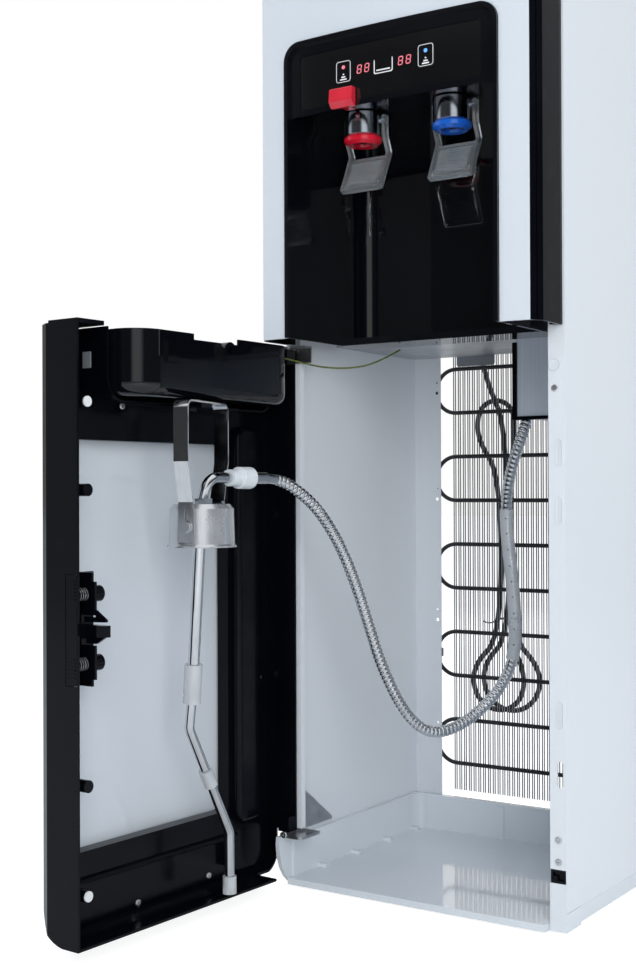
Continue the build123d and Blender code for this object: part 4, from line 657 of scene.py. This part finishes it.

# ---------------------------------------------------------------------------
# Display: a smoked acrylic lens snapped into the fascia, with two push keys set
# into it. The white printed marks and the red lit digits are thin layers on its
# face, and the keys have their own marks and dots. The white printed marks carry
# a faint painted glow.
# ---------------------------------------------------------------------------

smoked = finish(
    "smoked_acrylic",
    peel,
    {"Cells": 60.0, "Patches": 14.0},
    tones=((0.0028, 0.003, 0.0036), (0.0042, 0.0044, 0.005)),
    gloss=(0.02, 0.055),
    relief=(0.012, 0.0004),
    Coat_Weight=1.0,
    Coat_Roughness=0.02,
)
dress(smoked, "display_window", "hot_key", "cold_key")

front_bow = 6.5
front_edge, front_half = -185.0, 146.0
lens_edge, lens_half = -182.8, 143.8
key_setback = 2.4


def bowed_face(x, edge, half):
    """Where a bowed face stands at x, in millimetres. At x = half it is back at
    its edge, and its middle stands forward by the front's bow."""
    return edge - front_bow * (1 - (x / half) ** 2)


def printed_mark(x, z, size, corner=0.0, line=0.0, tilt=0.0, flat_y=None):
    """A thin mark, a little sunk into the bowed lens, or into a flat face at
    flat_y. It is a bar, or a frame if the width of its line is given."""
    thickness, sunk = 0.3, 0.06
    clear_selection()
    bpy.ops.mesh.primitive_plane_add(size=0.001, location=(0, 0, 0))
    mark = bpy.context.active_object
    mark.scale = (size[0], size[1], 1)
    bpy.ops.object.transform_apply(location=False, rotation=False, scale=True)
    bpy.ops.object.mode_set(mode="EDIT")
    bpy.ops.mesh.select_all(action="SELECT")
    if corner:
        bpy.ops.mesh.bevel(offset=corner / 1000, segments=6, affect="VERTICES")
        bpy.ops.mesh.select_all(action="SELECT")
    if line:
        bpy.ops.mesh.inset(thickness=line / 1000)
        bpy.ops.mesh.delete(type="FACE")
        bpy.ops.mesh.select_all(action="SELECT")
    forward = (0, 0, thickness / 1000)
    bpy.ops.mesh.extrude_region_move(TRANSFORM_OT_translate={"value": forward})
    bpy.ops.mesh.select_all(action="SELECT")
    bpy.ops.mesh.normals_make_consistent(inside=False)
    bpy.ops.object.mode_set(mode="OBJECT")
    lean = 0.0 if flat_y else math.atan(2 * front_bow * x / lens_half**2)
    depth = flat_y if flat_y else bowed_face(x, lens_edge, lens_half)
    mark.rotation_euler = (math.radians(90), math.radians(tilt), lean)
    mark.location = (x / 1000, (depth + sunk) / 1000, z / 1000)
    clear_selection()
    mark.select_set(True)
    bpy.ops.object.transform_apply(location=True, rotation=True, scale=True)
    return mark


def seven_segments(x, z):
    """One lit digit 8, leaning a little, 5.2 mm wide and 8.4 mm high."""
    slope, line, corner = 0.12, 0.85, 0.25
    strokes = []
    for dz in (-3.75, 0.0, 3.75):
        strokes.append(printed_mark(x + slope * dz, z + dz, (3.5, line), corner))
    for dx in (-2.15, 2.15):
        for dz in (-1.9, 1.9):
            strokes.append(printed_mark(x + dx + slope * dz, z + dz, (line, 3.1), corner, tilt=7))
    return strokes


# White printed ink with a faint painted glow: the emission lifts the marks, though printed ink
# gives no light.
white_marks_painted_glow = finish(
    "white_print_painted_glow",
    grain,
    {"Grains": 4000.0, "Flow": 90.0},
    tones=((0.62, 0.63, 0.64), (0.75, 0.76, 0.77)),
    gloss=(0.4, 0.5),
    relief=(0.02, 0.0001),
    Emission_Color=(0.9, 0.92, 0.95, 1),
    Emission_Strength=0.12,
)
lit_red = finish(
    "lit_digit_red",
    grain,
    {"Grains": 3000.0, "Flow": 200.0},
    tones=((0.8, 0.16, 0.22), (0.9, 0.25, 0.3)),
    gloss=(0.3, 0.4),
    relief=(0.02, 0.0001),
    Emission_Color=(1.0, 0.2, 0.27, 1),
    Emission_Strength=0.25,
)
lit_blue = finish(
    "lit_dot_blue",
    grain,
    {"Grains": 3000.0, "Flow": 200.0},
    tones=((0.1, 0.3, 0.85), (0.15, 0.4, 0.95)),
    gloss=(0.3, 0.4),
    relief=(0.02, 0.0001),
    Emission_Color=(0.1, 0.35, 1.0, 1),
    Emission_Strength=0.7,
)
digits = []
for x in (-29.0, -20.5, 16.6, 25.0):
    digits += seven_segments(x, 806.2)
digits = joined("display_digits", digits)
digits.data.materials.append(lit_red)
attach(digits, "cabinet")

basin = [
    printed_mark(-12.2, 805.2, (0.9, 12.4), 0.2),
    printed_mark(7.6, 805.2, (0.9, 12.4), 0.2),
    printed_mark(-2.3, 798.6, (18.6, 0.9), 0.2),
    printed_mark(-11.4, 799.4, (0.9, 2.4), 0.2, tilt=-45),
    printed_mark(6.8, 799.4, (0.9, 2.4), 0.2, tilt=45),
    printed_mark(-2.3, 801.4, (15.0, 1.2), 0.3),
]
basin = joined("display_basin_mark", basin)
basin.data.materials.append(white_marks_painted_glow)
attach(basin, "cabinet")

for key_name, x, dot in (("hot", -47.5, lit_red), ("cold", 43.0, lit_blue)):
    key_face = bowed_face(x, front_edge, front_half) + key_setback
    frame_mark = [printed_mark(x, 807.0, (16.2, 20.2), 2.8, line=0.55, flat_y=key_face)]
    for width, height, z in ((1.6, 1.2, 804.4), (4.6, 1.3, 801.8), (7.6, 1.3, 799.5)):
        frame_mark.append(printed_mark(x, z, (width, height), 0.4, flat_y=key_face))
    frame_mark = joined(key_name + "_key_mark", frame_mark)
    frame_mark.data.materials.append(white_marks_painted_glow)
    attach(frame_mark, key_name + "_push_key")
    lamp_dot = printed_mark(x, 811.2, (3.6, 3.6), 1.5, flat_y=key_face)
    lamp_dot = joined(key_name + "_key_dot", [lamp_dot])
    lamp_dot.data.materials.append(dot)
    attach(lamp_dot, key_name + "_push_key")

# ---------------------------------------------------------------------------
# Taps: turned bodies in dark chrome, held by necks through the niche's ceiling,
# with coloured collars round their outlets. Each has a clear push lever on two
# pins, with a waved pad for grip. A red child lock sits before the fascia.
# ---------------------------------------------------------------------------

dark_chrome = finish(
    "dark_chrome_plate",
    streaks,
    {"Stretch": (30.0, 30.0, 900.0), "Patches": 40.0},
    tones=((0.40, 0.44, 0.50), (0.48, 0.52, 0.58)),
    gloss=(0.14, 0.24),
    relief=(0.015, 0.0001),
    Metallic=1.0,
)
dress(dark_chrome, "hot_tap_body", "cold_tap_body")
collar_red = finish(
    "collar_red_moulding",
    peel,
    {"Cells": 300.0, "Patches": 40.0},
    tones=((0.56, 0.006, 0.022), (0.66, 0.012, 0.035)),
    gloss=(0.1, 0.2),
    relief=(0.03, 0.0003),
    Coat_Weight=0.6,
    Coat_Roughness=0.05,
)
collar_blue = finish(
    "collar_blue_moulding",
    peel,
    {"Cells": 300.0, "Patches": 40.0},
    tones=((0.006, 0.09, 0.5), (0.012, 0.13, 0.6)),
    gloss=(0.1, 0.2),
    relief=(0.03, 0.0003),
    Coat_Weight=0.6,
    Coat_Roughness=0.05,
)
dress(collar_red, "hot_tap_ring", "child_lock")
dress(collar_blue, "cold_tap_ring")

clear_acrylic = finish(
    "clear_acrylic",
    peel,
    {"Cells": 160.0, "Patches": 30.0},
    tones=((0.78, 0.83, 0.87), (0.86, 0.9, 0.93)),
    gloss=(0.06, 0.14),
    relief=(0.05, 0.0004),
    Transmission_Weight=0.9,
    IOR=1.49,
)
dress(clear_acrylic, "hot_lever", "cold_lever")


def waved_pad(name, tap_x):
    """A sheet of shallow waves along the paddle's sloped front."""
    width, length, waves, wave_height = 0.037, 0.0275, 11, 0.00045
    clear_selection()
    bpy.ops.mesh.primitive_grid_add(x_subdivisions=10, y_subdivisions=96, size=1)
    pad = bpy.context.active_object
    for vertex in pad.data.vertices:
        sway = 0.6 * math.sin(vertex.co.x * 9.0)
        vertex.co.z = wave_height * math.sin(2 * math.pi * waves * vertex.co.y + sway)
        vertex.co.x *= width
        vertex.co.y *= length
    shell = pad.modifiers.new("thickness", "SOLIDIFY")
    shell.thickness = 0.0005
    bpy.ops.object.modifier_apply(modifier=shell.name)
    pad.rotation_euler = (math.radians(62.1), 0, 0)
    pad.location = (tap_x, -0.1486, 0.7174)
    clear_selection()
    pad.select_set(True)
    bpy.ops.object.transform_apply(location=True, rotation=True, scale=True)
    bpy.ops.object.shade_smooth()
    pad.name = name
    pad.data.materials.append(clear_acrylic)
    return pad


for tap, tap_x in (("hot", -0.0495), ("cold", 0.0495)):
    pad = waved_pad(tap + "_lever_pad", tap_x)
    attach(pad, tap + "_push_lever")

# ---------------------------------------------------------------------------
# Condenser: a black lacquered serpentine tube on zinc brackets, with upright
# pairs of bright steel wires welded to its rear and a blank grey tag strapped on.
# The compressor is lacquered too, and the latch's springs are of the same wire.
# ---------------------------------------------------------------------------

black_lacquer = finish(
    "black_lacquer",
    peel,
    {"Cells": 500.0, "Patches": 25.0},
    tones=((0.004, 0.0045, 0.006), (0.008, 0.009, 0.012)),
    gloss=(0.28, 0.45),
    relief=(0.1, 0.0002),
)
dress(black_lacquer, "condenser_tube", "compressor")
dress(zinc, "condenser_brackets")
bright_wire = finish(
    "bright_drawn_wire",
    streaks,
    {"Stretch": (400.0, 400.0, 30.0), "Patches": 25.0},
    tones=((0.10, 0.105, 0.11), (0.34, 0.35, 0.37)),
    gloss=(0.25, 0.4),
    relief=(0.05, 0.0001),
    Metallic=0.8,
)
dress(bright_wire, "latch_springs")

wire_pairs, pair_pitch, pair_gap = 37, 0.0062857, 0.0025
clear_selection()
bpy.ops.mesh.primitive_cylinder_add(vertices=8, radius=0.0007, depth=0.8325)
wires = bpy.context.active_object
wires.location = (-0.1162857, 0.15695, 0.46625)
for count, spacing in ((wire_pairs, pair_pitch), (2, pair_gap)):
    row = wires.modifiers.new("row", "ARRAY")
    row.count = count
    row.use_relative_offset = False
    row.use_constant_offset = True
    row.constant_offset_displace = (spacing, 0, 0)
    bpy.ops.object.modifier_apply(modifier=row.name)
wires = joined("welded_wires", [wires])
wires.data.materials.append(bright_wire)
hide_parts("condenser_wires")
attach(wires, "cabinet")

tag_grey = finish(
    "tag_grey_vinyl",
    grain,
    {"Grains": 900.0, "Flow": 30.0},
    tones=((0.17, 0.19, 0.21), (0.2, 0.22, 0.24)),
    gloss=(0.45, 0.6),
    relief=(0.1, 0.0002),
)
tag = joined(
    "condenser_tag",
    [
        printed_mark(-83, 560.5, (50, 18), 3.0, flat_y=149.6),
        printed_mark(-83, 573, (3, 14), 0.6, flat_y=149.5),
    ],
)
tag.data.materials.append(tag_grey)
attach(tag, "cabinet")

# ---------------------------------------------------------------------------
# Pump box: folded stainless sheet, brushed upright, screwed to the right side
# panel and the deck, with black edging along its left and lower front edges. The
# drip grille and both tanks are of the same sheet.
# ---------------------------------------------------------------------------

brushed_steel = finish(
    "brushed_stainless",
    streaks,
    {"Stretch": (1100.0, 1100.0, 9.0), "Patches": 9.0},
    tones=((0.56, 0.63, 0.72), (0.66, 0.72, 0.80)),
    gloss=(0.34, 0.46),
    relief=(0.06, 0.0001),
    Metallic=0.3,
)
dress(brushed_steel, "pump_box", "drip_grille", "hot_tank", "cold_tank")
dress(satin_black, "box_edging")

# ---------------------------------------------------------------------------
# Suction probe: a satin stainless cap with a polished bail on two screws, and
# polished elbow, ferrule and dip tubes. A white nylon nut holds the elbow, and a
# clear sleeve joins each dip tube's halves. It hangs on the drip pocket's hook.
# ---------------------------------------------------------------------------

satin_steel = finish(
    "satin_stainless",
    streaks,
    {"Stretch": (700.0, 700.0, 20.0), "Patches": 30.0},
    tones=((0.58, 0.60, 0.63), (0.68, 0.70, 0.73)),
    gloss=(0.2, 0.32),
    relief=(0.04, 0.0001),
    Metallic=0.75,
)
dress(satin_steel, "probe_cap")
dress(polished_steel, "probe_bail", "bail_pivots", "probe_elbow", "hose_ferrule", "suction_tubes")
white_nylon = finish(
    "white_nylon",
    grain,
    {"Grains": 1600.0, "Flow": 30.0},
    tones=((0.66, 0.70, 0.74), (0.74, 0.77, 0.80)),
    gloss=(0.28, 0.4),
    relief=(0.06, 0.0002),
    Subsurface_Weight=0.05,
)
dress(white_nylon, "union_nut")
dress(silicone, "tube_sleeves")

# ---------------------------------------------------------------------------
# Machinery: the cold tank's foam shell, two circuit boards, the pump, copper
# refrigerant pipes brazed to the compressor, and silicone water pipes pushed onto
# their stubs. The soft white pads that the door shuts on are glued to it.
# ---------------------------------------------------------------------------

foam = finish(
    "expanded_foam",
    grain,
    {"Grains": 420.0, "Flow": 14.0},
    tones=((0.66, 0.68, 0.69), (0.78, 0.79, 0.8)),
    gloss=(0.75, 0.95),
    relief=(0.6, 0.0008),
)
dress(foam, "tank_insulation", "door_bumpers")
solder_mask = finish(
    "solder_mask",
    grain,
    {"Grains": 700.0, "Flow": 60.0},
    tones=((0.006, 0.07, 0.028), (0.012, 0.12, 0.05)),
    gloss=(0.25, 0.4),
    relief=(0.12, 0.0002),
)
dress(solder_mask, "control_board", "display_board")
pump_black = finish(
    "glass_filled_nylon",
    grain,
    {"Grains": 900.0, "Flow": 20.0},
    tones=((0.012, 0.0125, 0.014), (0.02, 0.021, 0.023)),
    gloss=(0.4, 0.55),
    relief=(0.15, 0.0003),
)
dress(pump_black, "pump")
drawn_copper = finish(
    "drawn_copper",
    streaks,
    {"Stretch": (90.0, 90.0, 90.0), "Patches": 45.0},
    tones=((0.62, 0.28, 0.16), (0.80, 0.43, 0.29)),
    gloss=(0.2, 0.4),
    relief=(0.04, 0.0001),
    Metallic=1.0,
)
dress(drawn_copper, "refrigerant_pipes")
dress(silicone, "water_pipes")

# ---------------------------------------------------------------------------
# Small parts: zinc-plated screws with a cross recess, white nylon plugs pushed
# into the right flange's hole and slots, the black tie round the lead's hank, and
# the grey foam pad glued to the door's free edge.
# ---------------------------------------------------------------------------


def soften(piece, width, segments):
    """Rounds the sharp edges of a piece."""
    soft = piece.modifiers.new("soft_edge", "BEVEL")
    soft.width = width
    soft.segments = segments
    soft.limit_method = "ANGLE"
    bpy.ops.object.modifier_apply(modifier=soft.name)


def screw_head():
    """A pan head of 3.5 mm radius with a cross recess, half sunk in its seat."""
    clear_selection()
    bpy.ops.mesh.primitive_cylinder_add(vertices=40, radius=0.0035, depth=0.0026)
    head = bpy.context.active_object
    soften(head, width=0.001, segments=5)
    for degrees in (0, 90):
        clear_selection()
        bpy.ops.mesh.primitive_cube_add(size=1, location=(0, 0, 0.0012))
        blade = bpy.context.active_object
        blade.scale = (0.0042, 0.0009, 0.002)
        blade.rotation_euler = (0, 0, math.radians(degrees))
        bpy.ops.object.transform_apply(location=True, rotation=True, scale=True)
        clear_selection()
        head.select_set(True)
        bpy.context.view_layer.objects.active = head
        recess = head.modifiers.new("recess", "BOOLEAN")
        recess.operation = "DIFFERENCE"
        recess.object = blade
        bpy.ops.object.modifier_apply(modifier=recess.name)
        bpy.data.objects.remove(blade)
    bpy.ops.object.shade_smooth_by_angle(angle=math.radians(35))
    return head


def set_screws(name, seats, size=1.0):
    """A group of screws; each seat is a place in millimetres and the way out."""
    placed = []
    for place, outward in seats:
        screw = bpy.data.objects.new(name, master_screw.data.copy())
        bpy.context.scene.collection.objects.link(screw)
        screw.scale = (size, size, size)
        screw.rotation_euler = Vector(outward).to_track_quat("Z", "Y").to_euler()
        screw.location = Vector(place) / 1000
        placed.append(screw)
    group = joined(name, placed)
    group.data.materials.append(zinc_bright)
    return group


zinc_bright = finish(
    "bright_zinc",
    streaks,
    {"Stretch": (120.0, 120.0, 120.0), "Patches": 60.0},
    tones=((0.66, 0.67, 0.69), (0.8, 0.81, 0.83)),
    gloss=(0.2, 0.34),
    relief=(0.04, 0.0001),
    Metallic=1.0,
)
master_screw = screw_head()
forward = (0, -1, 0)
flange_seats = [((145, -132, 498), forward), ((147, -132, 65), forward), ((147, -132, 85), forward)]
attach(set_screws("flange_screws", flange_seats, 0.95), "cabinet")
hinge_seats = [((-137.9, -132.3, 548.3), forward), ((-145.5, -153.5, 54.9), forward)]
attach(set_screws("hinge_screws", hinge_seats), "cabinet")
off_the_door = (0.999, -0.044, 0)
liner_seats = [
    ((-181.9, -355.2, 483), off_the_door),
    ((-181.07, -336.24, 25), off_the_door),
    ((-176.75, -237.34, 28), off_the_door),
    ((-178.54, -152.18, 380), off_the_door),
    ((-178.49, -151.18, 213), off_the_door),
]
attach(set_screws("liner_screws", liner_seats), "door")
rear_seats = [((x, 133.1, z), (0, 1, 0)) for x in (-133, 133) for z in (592, 700, 830, 968)]
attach(set_screws("rear_panel_screws", rear_seats, 1.1), "cabinet")
bpy.data.objects.remove(master_screw)


def plug_button():
    """A round white plug with a dished middle, in the flange's hole."""
    clear_selection()
    bpy.ops.mesh.primitive_cylinder_add(vertices=48, radius=0.0058, depth=0.0016)
    button = bpy.context.active_object
    bpy.ops.object.mode_set(mode="EDIT")
    bpy.ops.mesh.select_all(action="DESELECT")
    bpy.ops.object.mode_set(mode="OBJECT")
    for face in button.data.polygons:
        face.select = face.normal.z > 0.9
    bpy.ops.object.mode_set(mode="EDIT")
    bpy.ops.mesh.select_mode(type="FACE")
    bpy.ops.mesh.inset(thickness=0.0016)
    bpy.ops.transform.translate(value=(0, 0, -0.0006))
    bpy.ops.object.mode_set(mode="OBJECT")
    soften(button, width=0.0003, segments=3)
    button.rotation_euler = (math.radians(90), 0, 0)
    button.location = (0.1452, -0.1327, 0.5194)
    return button


def slot_plug(z):
    """A slim white plug with a rim and a sunken middle, in one of the slots."""
    clear_selection()
    bpy.ops.mesh.primitive_plane_add(size=1)
    plug = bpy.context.active_object
    plug.scale = (0.0062, 0.0245, 1)
    bpy.ops.object.transform_apply(location=False, rotation=False, scale=True)
    bpy.ops.object.mode_set(mode="EDIT")
    bpy.ops.mesh.select_all(action="SELECT")
    bpy.ops.mesh.bevel(offset=0.003, segments=8, affect="VERTICES")
    bpy.ops.mesh.select_all(action="SELECT")
    bpy.ops.mesh.extrude_region_move(TRANSFORM_OT_translate={"value": (0, 0, 0.0009)})
    bpy.ops.mesh.inset(thickness=0.0009)
    bpy.ops.transform.translate(value=(0, 0, -0.0004))
    bpy.ops.mesh.select_all(action="SELECT")
    bpy.ops.mesh.normals_make_consistent(inside=False)
    bpy.ops.object.mode_set(mode="OBJECT")
    plug.rotation_euler = (math.radians(90), 0, 0)
    plug.location = (0.1488, -0.1319, z / 1000)
    return plug


flange_plugs = joined("flange_plugs", [plug_button()] + [slot_plug(z) for z in (439, 386, 199)])
flange_plugs.data.materials.append(white_nylon)
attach(flange_plugs, "cabinet")

tie_points = [
    (-80, 160.6, 251),
    (-74, 159.6, 249),
    (-67, 159.8, 250),
    (-62, 160.2, 254),
    (-54, 160.2, 255),
    (-45.6, 161, 254),
    (-44.8, 172, 253),
    (-46, 183, 253),
    (-54, 183.6, 254),
    (-62.4, 183, 254),
    (-63.4, 172, 254),
    (-62.6, 161.4, 256),
    (-59, 159.6, 259),
]
tie_line = smooth_line("tie_route", tie_points)
tie_length = along_line(tie_line)[-1]
tie_radius = 0.0008
tie_profile = even_profile(tie_length, tie_radius, steps=120)
cord_tie, _ = round_tube("cord_tie", tie_line, tie_profile, sides=10)
cord_tie.data.materials.append(black_rubber)
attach(cord_tie, "cabinet")

clear_selection()
bpy.ops.mesh.primitive_cube_add(size=1)
edge_pad = bpy.context.active_object
edge_pad.scale = (0.0102, 0.0014, 0.0145)
bpy.ops.object.transform_apply(location=False, rotation=False, scale=True)
soften(edge_pad, width=0.0005, segments=3)
edge_pad.rotation_euler = (0, 0, math.radians(-2.5))
edge_pad.location = (-0.1775, -0.4055, 0.5207)
edge_pad = joined("edge_pad", [edge_pad])
edge_pad.data.materials.append(tag_grey)
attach(edge_pad, "door")
